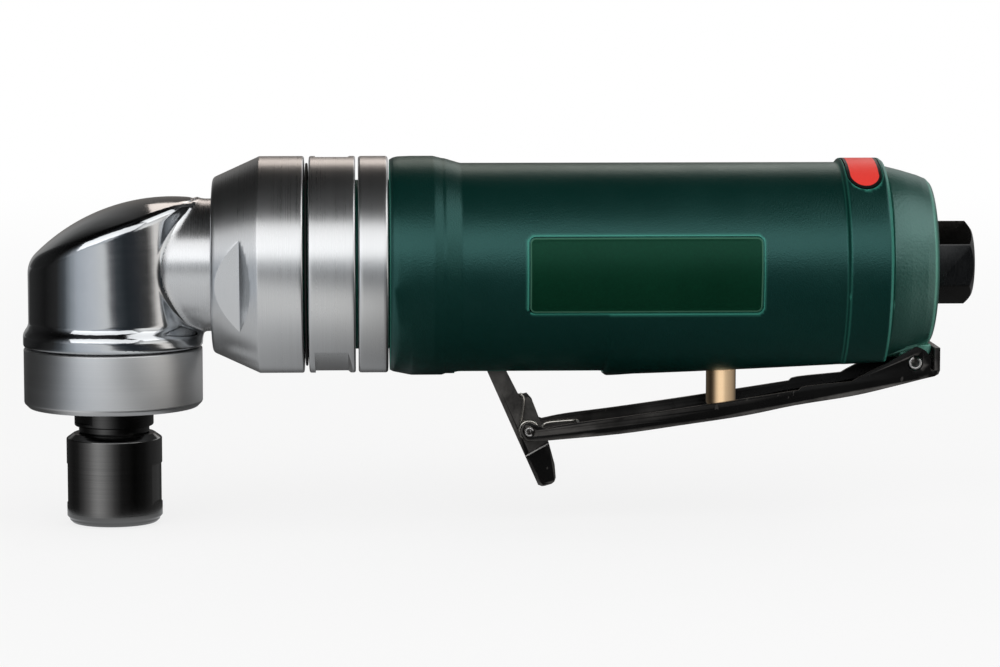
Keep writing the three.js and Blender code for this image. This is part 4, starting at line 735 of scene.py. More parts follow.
def makeFloor():
    s, half, level = studio, studio["floorHalf"], cadBounds[0][2] - 0.0003
    floor = addMesh("floor", [(-half, -half, level), (half, -half, level), (half, half, level),
                              (-half, half, level)], [], [(0, 1, 2, 3)])
    material, place = startMaterial("floorPaper")
    tree = material.node_tree
    paper = plus(times(noise(place, 400.0, 3.0), 0.02), s["floorColour"] - 0.01)
    moved = vectorMaths("SUBTRACT", place, (*s["floorCentre"], 0.0))[0]
    away = vectorMaths("LENGTH", place)["Value"]
    rays = addNode(tree, "ShaderNodeLightPath").outputs

    def eased(value, start, end, first, last):
        return addNode(tree, "ShaderNodeMapRange", {
            0: value, 1: start, 2: end, 3: first, 4: last},
            interpolation_type="SMOOTHSTEP").outputs[0]

    # painted shade: the reflected floor goes dark where the plastic sees it
    near = mixed(eased(axes(place)[0], *s["plasticFrom"], 0.0, 1.0 - s["plasticShare"]),
                 allRound(moved, s["floorNear"]), grey(0.0))
    glimpse = mixed(eased(away, *s["nearUntil"], 0.0, 1.0), near, allRound(moved, s["floorRound"]))
    # painted shadow at the tool's foot in the reflected floor
    mirrored = mixed(1.0, glimpse, eased(away, *s["footShade"], 1.0), "MULTIPLY")
    matt = addNode(tree, "ShaderNodeBsdfDiffuse", {"Color": paper}).outputs[0]
    white = times(seenBy(rays), eased(away, s["fadeStart"], s["fadeEnd"], s["floorGlow"], 1.0))
    # shiny parts see the floor as a glowing painted reflection, not as lit paper
    paperOrGlow = shaderMix(tree, rays["Is Glossy Ray"], matt, glowing(tree, mirrored))
    addNode(tree, "ShaderNodeOutputMaterial", {
        0: shaderMix(tree, white, paperOrGlow, glowing(tree, (1, 1, 1)))})
    floor.data.materials.append(material)


# a glowing card that paints a reflection into shiny parts, dark where it paints shade: seen from one side only, by
# shiny parts only, and throws no shadow
def addCard(name, points, faces, centre, stops):
    piece = addMesh(name, points, [], faces)
    material, place = startMaterial(name)
    tree = material.node_tree
    glow = glowing(tree, allRound(vectorMaths("SUBTRACT", place, (*centre, 0.0))[0], stops))
    addNode(tree, "ShaderNodeOutputMaterial", {0: shaderMix(
        tree, addNode(tree, "ShaderNodeNewGeometry").outputs["Backfacing"], glow,
        addNode(tree, "ShaderNodeBsdfTransparent").outputs[0])})
    piece.data.materials.append(material)
    piece.visible_camera = piece.visible_diffuse = piece.visible_shadow = False
    piece.visible_transmission = piece.visible_volume_scatter = False


def curvedCard(name):
    card, sides = studio[name], 96
    x, y = card["centre"]
    ring = arc(x, y, card["radius"], 0, 360, sides)[:-1]
    addCard(name, [(*p, z) for z in (card["low"], card["high"]) for p in ring],
            [(k, sides + k, sides + (k + 1) % sides, (k + 1) % sides) for k in range(sides)],
            card["centre"], card["stops"])


def crossCard(name):
    card = studio[name]
    x, out, under = card["along"], card["out"], card["under"]
    corners = [(-out, card["low"]), (under, card["low"]), (under, card["middle"]),
               (-under, card["middle"]), (-under, card["high"]), (-out, card["high"])]
    addCard(name, [(x, y, z) for y, z in corners], [(0, 1, 2, 3), (0, 3, 4, 5)], (x, 0.0),
            [(-180, card["glow"]), (180, card["glow"])])


def makeWorld():
    world = bpy.data.worlds.new("studio")
    bpy.context.scene.world = world
    tree = clearTree(world)
    way = addNode(tree, "ShaderNodeTexCoord").outputs["Generated"]
    rays = addNode(tree, "ShaderNodeLightPath").outputs
    height = rampNode(axes(way)[2], studio["height"])
    mirrored = mixed(1.0, allRound(way, studio["round"]), height, "MULTIPLY")
    plain = mixed(rays["Is Glossy Ray"], grey(studio["worldDiffuse"]), mirrored)
    colour = mixed(seenBy(rays), plain, grey(studio["backdrop"]))
    light = addNode(tree, "ShaderNodeBackground", {"Color": colour})
    addNode(tree, "ShaderNodeOutputWorld", {0: light.outputs[0]})


# azimuth 0 is the camera's side, 90 is past the air inlet; glow is how bright the face looks
def softbox(name, azimuth, elevation, distance, width, height, glow, colour=(1, 1, 1)):
    lamp = bpy.data.lights.new(name, "AREA")
    lamp.color, lamp.shape, lamp.size, lamp.size_y = colour, "RECTANGLE", width, height
    lamp.energy = glow * math.pi * width * height
    piece = addObject(name, lamp)
    a, e = math.radians(azimuth), math.radians(elevation)
    way = Vector((math.sin(a) * math.cos(e), -math.cos(a) * math.cos(e), math.sin(e)))
    piece.location = way * distance
    piece.rotation_euler = (-way).to_track_quat("-Z", "Y").to_euler()
    piece.visible_camera = False


makeFloor()
makeWorld()
# cards that paint reflections into the nut and the brass stem
curvedCard("nutCard")
curvedCard("stemCard")
# a dark card that paints shade into the plastic collar's reflection
crossCard("collarCard")
softbox("keyLight", -12, 31, 1.3, 2.25, 0.92, 1.28)
softbox("sideLight", 70, 46, 1.3, 1.2, 0.95, 1.3)
softbox("backLight", 177, 37, 1.4, 0.62, 0.44, 1.28, (1.0, 0.88, 0.8))
softbox("fillLight", 148, 27, 1.3, 0.95, 0.6, 0.65)
bpy.context.scene.view_settings.view_transform = "Standard"
print("camera, floor and light set")


# head casting: the skin of a field of distances
head = {
    "radius": 18.4, "seam": -17.7, "flangeRadius": 19.57, "flangeTop": -13.7, "beadRound": 1.7,
    "crownRadius": 42.0, "crownAhead": 13.0, "crownTop": 14.96, "crownRound": 1.7,
    "neckRadius": 14.5, "neck": (7.6, 28), "neckFillet": 2.0, "flareFillet": 1.6,
    "seamRound": 0.8, "cell": 0.42, "sweeps": 5,
    # (radius, middle, half length) of the parts that sit inside the coupling nut
    "inNut": ((18.5, 29.45, 2.05), (14.8, 33, 3.1)),
    # (radius, start, end) of the rooms for gears and bearings, about each of the two axes
    "spindleRooms": ((16.6, -99, -12.6), (11.5, -99, 1.5), (5.5, -99, 8.6)),
    "motorRooms": ((7.4, 9.5, 16), (11.3, 15.5, 24), (12.4, 23.9, 99)),
    # the same with the radius's slope
    "spindleCone": (11.5, -2.14, 1.5, 2.9, 1.4), "motorCone": (4.3, 0.6, 4.4, 9.6)}


def smoothMax(a, b, k):
    k = np.maximum(k, 1e-6)
    h = np.clip(0.5 + 0.5 * (a - b) / k, 0, 1)
    return b * (1 - h) + a * h + k * h * (1 - h)


def smoothMin(a, b, k):
    return -smoothMax(-a, -b, k)


def between(reach, along, start, end):
    return np.maximum(reach, np.maximum(start - along, along - end))


def headField(x, y, z):
    s = head
    rho, about = np.sqrt(x * x + y * y) + 1e-9, np.sqrt(y * y + z * z) + 1e-9
    side = rho - s["radius"]
    cx, cz = x - s["crownAhead"], z - (s["crownTop"] - s["crownRadius"])
    reach = np.sqrt(cx * cx + y * y + cz * cz)
    crown = reach - s["crownRadius"]
    body = smoothMax(side, crown, s["crownRound"])
    neck = between(about - s["neckRadius"], x, *s["neck"])
    # no fillet where the two skins run side by side
    alike = np.where(crown > side, (y * y + z * cz) / (about * reach), y * y / (about * rho))
    body = smoothMin(body, neck, s["neckFillet"] * np.clip(1.15 - alike, 0, 1))
    half = (s["flangeTop"] - s["seam"]) / 2 + 2
    r = s["beadRound"]
    qx, qz = rho - (s["flangeRadius"] - r), np.abs(z - (s["flangeTop"] - half)) - (half - r)
    bead = np.sqrt(np.maximum(qx, 0) ** 2 + np.maximum(qz, 0) ** 2) + np.minimum(
        np.maximum(qx, qz), 0) - r
    body = smoothMin(body, bead, s["flareFillet"])
    for radius, middle, half in s["inNut"]:
        body = np.minimum(body, np.maximum(about - radius, np.abs(x - middle) - half))
    body = smoothMax(body, s["seam"] - z, s["seamRound"])
    rooms = [between(rho - radius, z, *ends) for radius, *ends in s["spindleRooms"]]
    rooms += [between(about - radius, x, *ends) for radius, *ends in s["motorRooms"]]
    radius, slope, start, middle, half = s["spindleCone"]
    rooms.append(np.maximum(rho - (radius + slope * (z - start)), np.abs(z - middle) - half))
    radius, slope, start, end = s["motorCone"]
    rooms.append(between(about - (radius + slope * (x - start)), x, start, end))
    return np.maximum(body, -np.minimum.reduce(rooms))


# one point in each cell that the skin passes through, joined across each crossed edge
def skinOf(field, low, high, cell):
    axes = [np.arange(a, b + cell, cell) for a, b in zip(low, high)]
    grid = np.meshgrid(*axes, indexing="ij")
    value = field(*grid)
    inside = value < 0
    size = [len(a) - 1 for a in axes]
    total, count = np.zeros((*size, 3)), np.zeros(size)
    corner = np.stack(grid, -1)
    faces = []
    for axis in range(3):
        a = [slice(None)] * 3
        b = [slice(None)] * 3
        a[axis], b[axis] = slice(0, -1), slice(1, None)
        va, vb = value[tuple(a)], value[tuple(b)]
        crossed = (va < 0) != (vb < 0)
        share = np.where(crossed, va / np.where(crossed, va - vb, 1), 0)
        pa, pb = corner[tuple(a)], corner[tuple(b)]
        hit = pa + (pb - pa) * share[..., None]
        u, v = [k for k in range(3) if k != axis]
        for du in (0, 1):
            for dv in (0, 1):
                take = [slice(None)] * 3
                take[u] = slice(1, None) if du else slice(0, -1)
                take[v] = slice(1, None) if dv else slice(0, -1)
                c = crossed[tuple(take)]
                total += np.where(c[..., None], hit[tuple(take)], 0)
                count += c
        at = np.argwhere(crossed)
        at = at[(at[:, u] > 0) & (at[:, v] > 0) & (at[:, u] < size[u]) & (at[:, v] < size[v])]
        for i in at:
            ring = []
            for du, dv in ((0, 0), (1, 0), (1, 1), (0, 1)):
                c = i.copy()
                c[u] -= du
                c[v] -= dv
                ring.append(tuple(c))
            faces.append(ring if inside[tuple(i)] else ring[::-1])
    used = count > 0
    order = -np.ones(size, int)
    order[used] = np.arange(used.sum())
    points = total[used] / count[used][:, None]
    return points, [[int(order[c]) for c in ring] for ring in faces]


def ontoSkin(field, points, sweeps, limit):
    step = 1e-3
    for _ in range(sweeps):
        x, y, z = points.T
        f = field(x, y, z)
        slope = np.stack([(field(x + step, y, z) - f) / step, (field(x, y + step, z) - f) / step,
                          (field(x, y, z + step) - f) / step], -1)
        move = -f[:, None] * slope / np.maximum((slope ** 2).sum(-1), 0.2)[:, None]
        points = points + np.clip(move, -limit, limit)
    return points


skin, skinFaces = skinOf(headField, (-20.4, -20.4, -18.6), (37.2, 20.4, 16.0), head["cell"])
skin = ontoSkin(headField, skin, head["sweeps"], head["cell"] / 2)
headPiece = newPiece("headCasting", skin.tolist(), skinFaces, angle=50)
finished(headPiece, "angle_housing", "housing", ["headPolish", "neckSatin"])
for face in headPiece.data.polygons:
    p = inTool(face.center)
    onNeck = math.hypot(p.y, p.z) < head["neckRadius"] + 0.25
    outside = math.hypot(p.x, p.y) > head["radius"] + 0.2 or p.z > 11
    face.material_index = 1 if onNeck and outside and p.x > 9 and p.z > head["seam"] else 0
print("head casting made,", len(skinFaces), "faces")


# bearing cap, spindle, collet and nut, turned about the spindle's axis
cap = {"low": -31.0, "top": -18.0, "radius": 19.5, "collar": 9.2, "spigot": 16.3,
       "spigotTop": -12.9, "pocket": 14.3, "pocketFloor": -21.5}
capPiece = turned("bearingCap", [
    (cap["collar"], cap["low"] + 1.2, 0.2), (cap["collar"] + 0.8, cap["low"] + 0.4, 0.2),
    (cap["collar"] + 0.8, cap["low"], 0.1), (cap["radius"] - 1.1, cap["low"], 0.5),
    (cap["radius"], cap["low"] + 1.1, 0.9), (cap["radius"], cap["top"], 0.35),
    (cap["spigot"], cap["top"]), (cap["spigot"], cap["spigotTop"], 0.3),
    (cap["pocket"], cap["spigotTop"]), (cap["pocket"], cap["pocketFloor"]),
    (cap["collar"], cap["pocketFloor"])], aboutZ(), 192)
finished(capPiece, "bearing_cap", "housing", "capSatin")

spindle = {"collar": 8.65, "collarLow": -35.2, "neck": 7.7, "neckLow": -36.5, "thread": 7.4,
           "end": -50.6, "bore": 5.6, "boreTop": -36, "flatLow": -34.4, "flatTop": -31.6,
           "flatAngle": 38}
spindlePiece = turned("spindleShaft", [
    (0, 8), (3.4, 8, 0.4), (3.4, -2.5), (4.6, -2.5), (4.6, -8.69), (6.7, -8.69, 0.3),
    (6.7, -12.9), (6.0, -12.9), (6.0, -21.5), (spindle["collar"], -21.8, 0.2),
    (spindle["collar"], spindle["collarLow"], 0.45), (spindle["neck"], spindle["collarLow"], 0.15),
    (spindle["neck"], spindle["neckLow"], 0.1), (spindle["thread"], spindle["neckLow"], 0.1),
    (spindle["thread"], spindle["end"], 0.4), (spindle["bore"], spindle["end"], 0.2),
    (spindle["bore"], spindle["boreTop"]), (0, spindle["boreTop"])], aboutZ(), 128)
cutAway(spindlePiece, *[
    spun(block(f"spindleFlat{i}", (x - 1, -9, spindle["flatLow"]), (x + 1, 9, spindle["flatTop"])),
         "z", spindle["flatAngle"]) for i, x in enumerate((-9, 9))])
finished(spindlePiece, "spindle", "spindle_group", "spindleBlack")

collet = {"bore": 3.175, "shank": 5.3, "flange": 6.6, "nose": 4.3, "top": -38.0, "end": -55.9,
          "flangeTop": -50.9, "flangeLow": -53.4, "slit": 0.8, "slitTop": -42.0, "slits": 4}
colletPiece = turned("colletBody", [
    (collet["bore"], collet["top"], 0.2), (collet["shank"], collet["top"], 0.3),
    (collet["shank"], collet["flangeTop"], 0.1), (collet["flange"], collet["flangeTop"], 0.15),
    (collet["flange"], collet["flangeLow"], 0.15), (collet["nose"], collet["flangeLow"] - 2, 0.2),
    (collet["nose"], collet["end"], 0.25), (collet["bore"], collet["end"], 0.3)],
    aboutZ(), 96)
slit = spun(block("slit", (0, -collet["slit"] / 2, collet["end"] - 2),
                  (collet["flange"] + 2, collet["slit"] / 2, collet["slitTop"])), "z", 45)
cutAway(colletPiece, copies(slit, collet["slits"], (0, 0, 1), "colletSteel"))
finished(colletPiece, "collet", "collet_group", "colletSteel")

nut = {"radius": 10.45, "top": -36.8, "low": -56.5, "topRadius": 8.9, "topEdge": 1.1,
       "lowEdge": 1.2, "mouth": 4.7, "thread": 7.7, "flatDepth": 0.95, "flatTop": -43.4,
       "flatLow": -52.2, "flatAngle": 10}
nutPiece = turned("colletNut", [
    (nut["thread"], nut["top"], 0.2), (nut["topRadius"], nut["top"], 0.2),
    (nut["radius"], nut["top"] - nut["topEdge"], 0.45), (nut["radius"], nut["low"] + 1.5, 0.3),
    (nut["radius"] - 0.55, nut["low"] + 0.95, 0.1), (nut["radius"] - 0.6, nut["low"] + 0.6, 0.1),
    (nut["radius"] - nut["lowEdge"], nut["low"], 0.35), (nut["mouth"] + 1.0, nut["low"], 0.15),
    (nut["mouth"], nut["low"] + 1.0, 0.15), (nut["mouth"], -55.1), (6.9, -53.7), (6.9, -50.9),
    (nut["thread"], -50.9)], aboutZ(), longest=0.7)
cutAway(nutPiece, *[spun(block(
    f"nutFlat{i}", (nut["radius"] - nut["flatDepth"], -nut["radius"], nut["flatLow"]),
    (nut["radius"] + 2, nut["radius"], nut["flatTop"])), "z", turn - nut["flatAngle"])
    for i, turn in enumerate((0, 180))])
bevelled(nutPiece, 0.12, 2, limit=50)
finished(nutPiece, "collet_nut", "nut_group", "nutBlack")
print("cap, spindle, collet and nut made")


# coupling nut and the rings behind it, turned about the motor's axis
rings = {"radius": 23.72, "bore": 18.8, "edge": 0.45, "around": 256, "couplingFront": 22.0,
         "couplingFrontRadius": 19.05, "coneEnd": 32.2, "couplingRear": 41.9, "neckBore": 14.8,
         "lipRear": 27.1, "lockFront": 43.0, "lockRear": 53.1, "adapterFront": 53.7,
         "adapterRear": 60.2,
         # height of a flat above the axis, the stretch of x that it covers, and its turn
         "couplingFlats": (19.5, 20.0, 28.3, 32.4, 99),
         "lockFlats": (21.8, 44.3, 51.45, 53.37, 161.5)}
coupling = turned("couplingNut", [
    (rings["neckBore"], rings["couplingFront"] + 0.3, 0.2),
    (rings["neckBore"] + 0.4, rings["couplingFront"], 0.1),
    (rings["couplingFrontRadius"], rings["couplingFront"], 1.1),
    (rings["radius"], rings["coneEnd"], 0.7),
    (rings["radius"], rings["couplingRear"], rings["edge"]),
    (rings["bore"], rings["couplingRear"], 0.2), (rings["bore"], rings["lipRear"]),
    (rings["neckBore"], rings["lipRear"])], aboutX(), rings["around"], 0.6)


# planes two flats, half a turn apart
def planed(piece, height, front, rear, runout, turn):
    wide = rings["radius"]
    outline = [(front, height), (rear, height), (runout, wide + 2), (front, wide + 2)]
    cutAway(piece, *[spun(slab(f"{piece.name}Flat{i}", outline, -wide, wide), "x", turn - 180 * i)
                     for i in (0, 1)])
    return bevelled(piece, 0.1, 2, limit=20)


finished(planed(coupling, *rings["couplingFlats"]), "coupling_nut", "housing",
         "ringSatin")


def plainRing(name, front, rear, edge):
    return washer(name, rings["bore"], rings["radius"], front, rear, 0.2, edge, aboutX(),
                  rings["around"], 0.6)


lockRing = plainRing("lockRing", rings["lockFront"], rings["lockRear"], rings["edge"])
finished(planed(lockRing, *rings["lockFlats"]), "lock_ring", "housing",
         "ringSatin")
adapter = plainRing("adapterRing", rings["adapterFront"], rings["adapterRear"], 0.6)
finished(adapter, "adapter_ring", "housing", "ringSatin")
seal = washer("ringSeal", 19.1, 22.2, 42.2, 42.7, 0.1, 0.2, aboutX(), 128)
finished(seal, "ring_seal", "housing", "rubber")
print("rings made")


# motor housing: rings of points whose radius and keel depth change along x
housing = {
    # x, radius above the axis, depth of the keel below it
    "stations": [(60.5, 22.85, 23.1), (61.2, 23.35, 23.5), (62.3, 23.61, 23.72),
                 (65.2, 23.72, 24.3), (70.1, 23.72, 24.3), (72.1, 23.2, 24.3), (72.5, 23.2, 24.0),
                 (76.0, 22.15, 24.0), (107.2, 22.15, 24.0), (107.8, 22.15, 24.6),
                 (158.6, 22.15, 24.6), (159.2, 23.1, 24.6), (167.8, 23.1, 24.6),
                 (168.4, 22.5, 24.0)],
    "flatFront": (107.8, 24.6), "flatRear": (170.4, 20.7), "flatRound": 1.0,
    "blur": 0.22, "step": 0.55, "fineStep": 0.12, "sides": 224,
    "nose": 18.5, "noseFront": 31.8, "bore": 15.1, "boreRear": 112.9,
    "pocket": ((74.6, -6.5, -28), (107.2, 6.5, -16.3)), "pocketRound": 1.2,
    "valve": 133.6, "valveBore": 6.3, "valveTop": 13.0, "airFront": 133.6,
    "exhaust": (108, 171), "exhaustBore": 2.6, "exhaustOut": 15.4, "exhaustUp": 6}


def housingSkin():
    s, table, least = housing, np.array(housing["stations"]), 0.02
    fine = np.arange(table[0, 0] - 3, table[-1, 0] + 3, least)
    width = int(4 * s["blur"] / least)
    kernel = np.exp(-0.5 * (np.arange(-width, width + 1) * least / s["blur"]) ** 2)
    kernel /= kernel.sum()
    soft = [np.convolve(np.interp(fine, table[:, 0], table[:, k]), kernel, "same") for k in (1, 2)]
    places = [table[0, 0]]
    steps = [x for x, *_ in s["stations"]]
    while places[-1] < table[-1, 0] - 1e-6:
        near = min(abs(places[-1] - x) for x in steps) < 1.0
        places.append(min(places[-1] + (s["fineStep"] if near else s["step"]), table[-1, 0]))
    flat = np.array([s["flatFront"], s["flatRear"]])
    turn = np.arange(s["sides"]) * 2 * math.pi / s["sides"]
    skin = []
    for x in places:
        radius, keel = (np.interp(x, fine, value) for value in soft)
        y = radius * np.cos(turn)
        z = np.where(np.sin(turn) > 0, radius, keel) * np.sin(turn)
        if x > s["flatFront"][0]:
            floor = -np.interp(x, flat[:, 0], flat[:, 1])
            soften = s["flatRound"] * min(1, (x - s["flatFront"][0]) / 6)
            z = np.where(z < 0, smoothMax(z, floor, soften), z)
        skin.append([(x, a, b) for a, b in zip(y, z)])
    return tube("motorHousing", skin)


plate = {"front": 90.45, "rear": 140.3, "low": -8.8, "top": 7.3, "corner": 1.2, "radius": 22.25,
         "thick": 0.35, "lip": 0.42, "sink": 0.1, "rows": 30}
label = {"middle": 163.375, "halfLength": 15.2, "halfWidth": 3.7, "radius": 23.1, "thick": 0.3,
         "rows": 40}


# rows across a rounded outline, as (place along the row's axis, half width there)
def roundedRows(low, high, corner, half, count):
    ends, rows = 0.12, []
    shares = np.concatenate([np.linspace(0, 1, 9)[:-1] ** 1.5 * ends,
                             np.linspace(ends, 1 - ends, count),
                             1 - (np.linspace(1, 0, 9)[1:] ** 1.5) * ends])
    for share in shares:
        v = low + (high - low) * share
        short = max(corner - min(v - low, high - v), 0)
        inset = corner - math.sqrt(max(corner ** 2 - short ** 2, 0)) if short else 0
        rows.append((v, half - inset))
    return rows


def edgeShares(lip, half, count=24):
    a = lip / half
    inner = np.linspace(-1 + 1.15 * a, 1 - 1.15 * a, count)
    left = np.array([-1, -1 + 0.25 * a, -1 + 0.85 * a, -1 + a])
    return np.concatenate([left, inner, -left[::-1]])


# a patch of rows laid on a cylinder, with a height at each place and a flat back
def patch(name, rows, shares, place, heightAt, thick):
    n, size = len(shares), len(rows) * len(shares)
    points = [place(half * share, v, -thick if back else heightAt(half * share, v))
              for back in (0, 1) for v, half in rows for share in shares]
    faces = []
    for i in range(len(rows) - 1):
        for a in range(i * n, i * n + n - 1):
            faces.append((a, a + 1, a + n + 1, a + n))
            faces.append((size + a, size + a + n, size + a + n + 1, size + a + 1))
    edge = (list(range(n)) + [(i + 1) * n - 1 for i in range(1, len(rows))]
            + [size - 1 - k for k in range(1, n)] + [i * n for i in range(len(rows) - 2, 0, -1)])
    faces += [(a, size + a, size + b, b) for a, b in zip(edge, edge[1:] + edge[:1])]
    return newPiece(name, points, faces)


# u along the barrel from a middle, v round it from its near side or from its top
def onBarrel(middle, radius, fromTop):
    def place(u, v, rise):
        turn = math.asin(v / radius)
        out, side = (radius + rise) * math.cos(turn), (radius + rise) * math.sin(turn)
        return (middle + u, -side, out) if fromTop else (middle + u, -out, side)
    return place


plateHalf = (plate["rear"] - plate["front"]) / 2
plateSpot = onBarrel((plate["front"] + plate["rear"]) / 2, plate["radius"], False)
labelSpot = onBarrel(label["middle"], label["radius"], True)


def plateHeight(u, v):
    corner, high = plate["corner"], (plate["top"] - plate["low"]) / 2
    qu = abs(u) - (plateHalf - corner)
    qv = abs(v - (plate["top"] + plate["low"]) / 2) - (high - corner)
    inside = corner - math.hypot(max(qu, 0), max(qv, 0)) - min(max(qu, qv), 0)
    return -plate["sink"] * min(max((inside - plate["lip"]) / 0.12, 0), 1)


# larger by a margin all round, for the plate and for the room that it lies in
def plateRows(margin):
    return roundedRows(plate["low"] - margin, plate["top"] + margin, plate["corner"] + margin,
                       plateHalf + margin, plate["rows"])


def labelRows(margin):
    end, half = label["halfLength"] + margin, label["halfWidth"] + margin
    return roundedRows(-end, end, half, half, label["rows"])


platePiece = patch("namePlate", plateRows(0), edgeShares(plate["lip"], plateHalf), plateSpot,
                   plateHeight, plate["thick"])
finished(platePiece, "name_plate", "housing", "plateGreen")
labelPiece = patch("serviceLabel", labelRows(0), edgeShares(0.3, label["halfWidth"], 12),
                   labelSpot, lambda u, v: 0.0, label["thick"])
finished(labelPiece, "service_label", "housing", "labelRed")

housingPiece = housingSkin()
h = housing
pocket = bevelled(block("pocket", *h["pocket"]), h["pocketRound"], 4)
valveBore = rod("valveBore", h["valveBore"], -30, h["valveTop"], aboutZ(h["valve"]), 64)
airBore = turned("airBore", [
    (0, h["airFront"]), (5, h["airFront"]), (5, 149.7), (7.5, 149.7), (7.5, 171), (0, 171)],
    aboutX(), 64)
motorBore = turned("motorBore", [
    (0, 29), (h["bore"], 29), (h["bore"], h["boreRear"]), (5, h["boreRear"]), (5, 114.5),
    (0, 114.5)], aboutX(), 96)
exhaustBores = [rod(f"exhaustBore{i}", h["exhaustBore"], *h["exhaust"],
                    aboutX(side * h["exhaustOut"], h["exhaustUp"]), 32)
                for i, side in enumerate((-1, 1))]
plateRoom = patch("plateRoom", plateRows(gap), edgeShares(1, plateHalf), plateSpot,
                  lambda u, v: 1.5, plate["thick"] + gap)
labelRoom = patch("labelRoom", labelRows(gap), edgeShares(1, label["halfWidth"], 12), labelSpot,
                  lambda u, v: 1.5, label["thick"] + gap)
joined(housingPiece, rod("nose", h["nose"], h["noseFront"], 62.3, aboutX(), 224))
cutAway(housingPiece, pocket, valveBore, airBore, motorBore, *exhaustBores, plateRoom, labelRoom)
bevelled(housingPiece, 0.12, 2, limit=45)
finished(housingPiece, "motor_housing", "housing", "darkGreen")
print("housing, plate and label made,", len(housingPiece.data.polygons), "faces")


# exhaust cap with its lug, air inlet and valve stem
exhaust = {"front": 168.7, "rear": 179.0, "floor": 2.8, "hub": 9.6, "inner": 16.8,
           "shank": 7.5, "seal": 9.1, "holes": 8, "holeRadius": 1.5, "holeCircle": 13.2,
           "pivot": (175.26, -21.26), "lugHalf": 7.38, "lugRadius": 2.3, "lugTop": -17.4,
           "pinRadius": 1.7, "ear": 4.05, "earFront": 167.15, "earInner": 7.98, "earOuter": 10.1}
exhaustPiece = turned("exhaustCap", [
    (exhaust["shank"], exhaust["front"]), (exhaust["hub"], exhaust["front"]),
    (exhaust["hub"], exhaust["rear"] - exhaust["floor"]),
    (exhaust["inner"], exhaust["rear"] - exhaust["floor"]), (18.9, exhaust["front"]),
    (21.4, exhaust["front"], 0.35), (20.4, 172.66, 3.0), (19.3, 176.35, 1.2), (18.55, 178.2, 0.6),
    (17.7, exhaust["rear"], 0.35), (exhaust["seal"], exhaust["rear"], 0.2),
    (exhaust["seal"], 177.5), (exhaust["shank"], 177.5)], aboutX(), 192)
px, pz = exhaust["pivot"]
lug = slab("lug", [(171.2, exhaust["lugTop"]), *arc(px, pz, exhaust["lugRadius"], 180, 360, 20),
                   (exhaust["rear"], pz + exhaust["lugRadius"]),
                   (exhaust["rear"], exhaust["lugTop"])], -exhaust["lugHalf"], exhaust["lugHalf"])
joined(exhaustPiece, bevelled(lug, 0.35))
pinHole = rod("pinHole", exhaust["pinRadius"], -throughAll, throughAll, aboutY(px, pz), 32)
hole = rod("hole", exhaust["holeRadius"], 167, 181, aboutX(exhaust["holeCircle"]), 32)
holes = copies(spun(hole, "x", 180 / exhaust["holes"]), exhaust["holes"], (1, 0, 0), "capGreen")
# room for the lever's ears
away, earFront = exhaust["ear"], exhaust["earFront"]
ears = slabPair("ear", [*arc(px, pz, away, 0, 120, 16), (earFront, pz + gap), (earFront, pz - away),
                        (px + away, pz - away)], exhaust["earInner"], exhaust["earOuter"])
cutAway(exhaustPiece, pinHole, holes, *ears)
bevelled(exhaustPiece, 0.12, 2, limit=45)
finished(exhaustPiece, "exhaust_cap", "housing", "capGreen")

inlet = {"across": 16.0, "front": 179.6, "rear": 188.4, "chamfer": 1.3, "shank": 7.2,
         "shankFront": 150.0, "bore": 5.6, "boreFront": 172.0, "passage": 4.2, "pitch": 1.337,
         "threadDepth": 0.62}
corner = inlet["across"] / math.sqrt(3)
hexPiece = bevelled(slab("airInlet", arc(0, 0, corner, 30, 330, 5), inlet["front"], inlet["rear"],
                         aboutX()), 0.25)
turnOff = inlet["rear"] - inlet["chamfer"]
within(hexPiece, turned("crown", [
    (0, 178), (corner + 2, 178), (corner + 2, turnOff), (corner + 0.05, turnOff, 0.3),
    (corner - inlet["chamfer"] * 1.3, inlet["rear"], 0.3), (0, inlet["rear"])], aboutX()))
joined(hexPiece, rod("shank", inlet["shank"], inlet["shankFront"], inlet["front"] + 2, aboutX(),
                     96))


# the bore's thread, as a rod whose surface rises and falls along a helix
def threadedRod(name, radius, depth, pitch, front, rear, sides=96):
    rows = int((rear - front) / pitch * 10)
    skin = []
    for x in (front + (rear - front) * i / rows for i in range(rows + 1)):
        taper = min(max((rear - 2.2 - x) / pitch, 0), 1)
        waves = [min(max(1.5 - abs((x / pitch - k / sides) % 1 - 0.5) * 5, 0), 1)
                 for k in range(sides)]
        skin.append([(x, (radius + depth * wave * taper) * math.cos(circle * k / sides),
                      (radius + depth * wave * taper) * math.sin(circle * k / sides))
                     for k, wave in enumerate(waves)])
    return tube(name, skin)


bore = threadedRod("bore", inlet["bore"], inlet["threadDepth"], inlet["pitch"],
                   inlet["boreFront"], inlet["rear"] + 1)
mouth = turned("mouth", [(0, inlet["rear"] - 1.0), (inlet["bore"], inlet["rear"] - 1.0),
                         (inlet["bore"] + 1.3, inlet["rear"] + 0.3), (0, inlet["rear"] + 0.3)],
               aboutX(), 96)
passage = rod("passage", inlet["passage"], 148, 173, aboutX(), 64)
cutAway(hexPiece, bore, mouth, passage)
finished(hexPiece, "air_inlet_bushing", "housing", "inletBlack")

sealRing = washer("inletSeal", 7.5, 8.8, 177.85, 179.15, 0.3, 0.5, aboutX(), 96)
finished(sealRing, "inlet_o_ring", "housing", "rubber")

screen = {"radius": 5.3, "front": 172.3, "rear": 173.1, "hole": 0.5,
          "rings": ((0, 1), (1.6, 6), (3.2, 12), (4.5, 16))}
screenPiece = rod("inletScreen", screen["radius"], screen["front"], screen["rear"], aboutX(), 64)
cutAway(screenPiece, *[copies(rod(f"punch{many}", screen["hole"], 171, 175, aboutX(radius), 12),
                              many, (1, 0, 0), "ringSatin") for radius, many in screen["rings"]])
finished(screenPiece, "inlet_screen", "housing", "ringSatin")

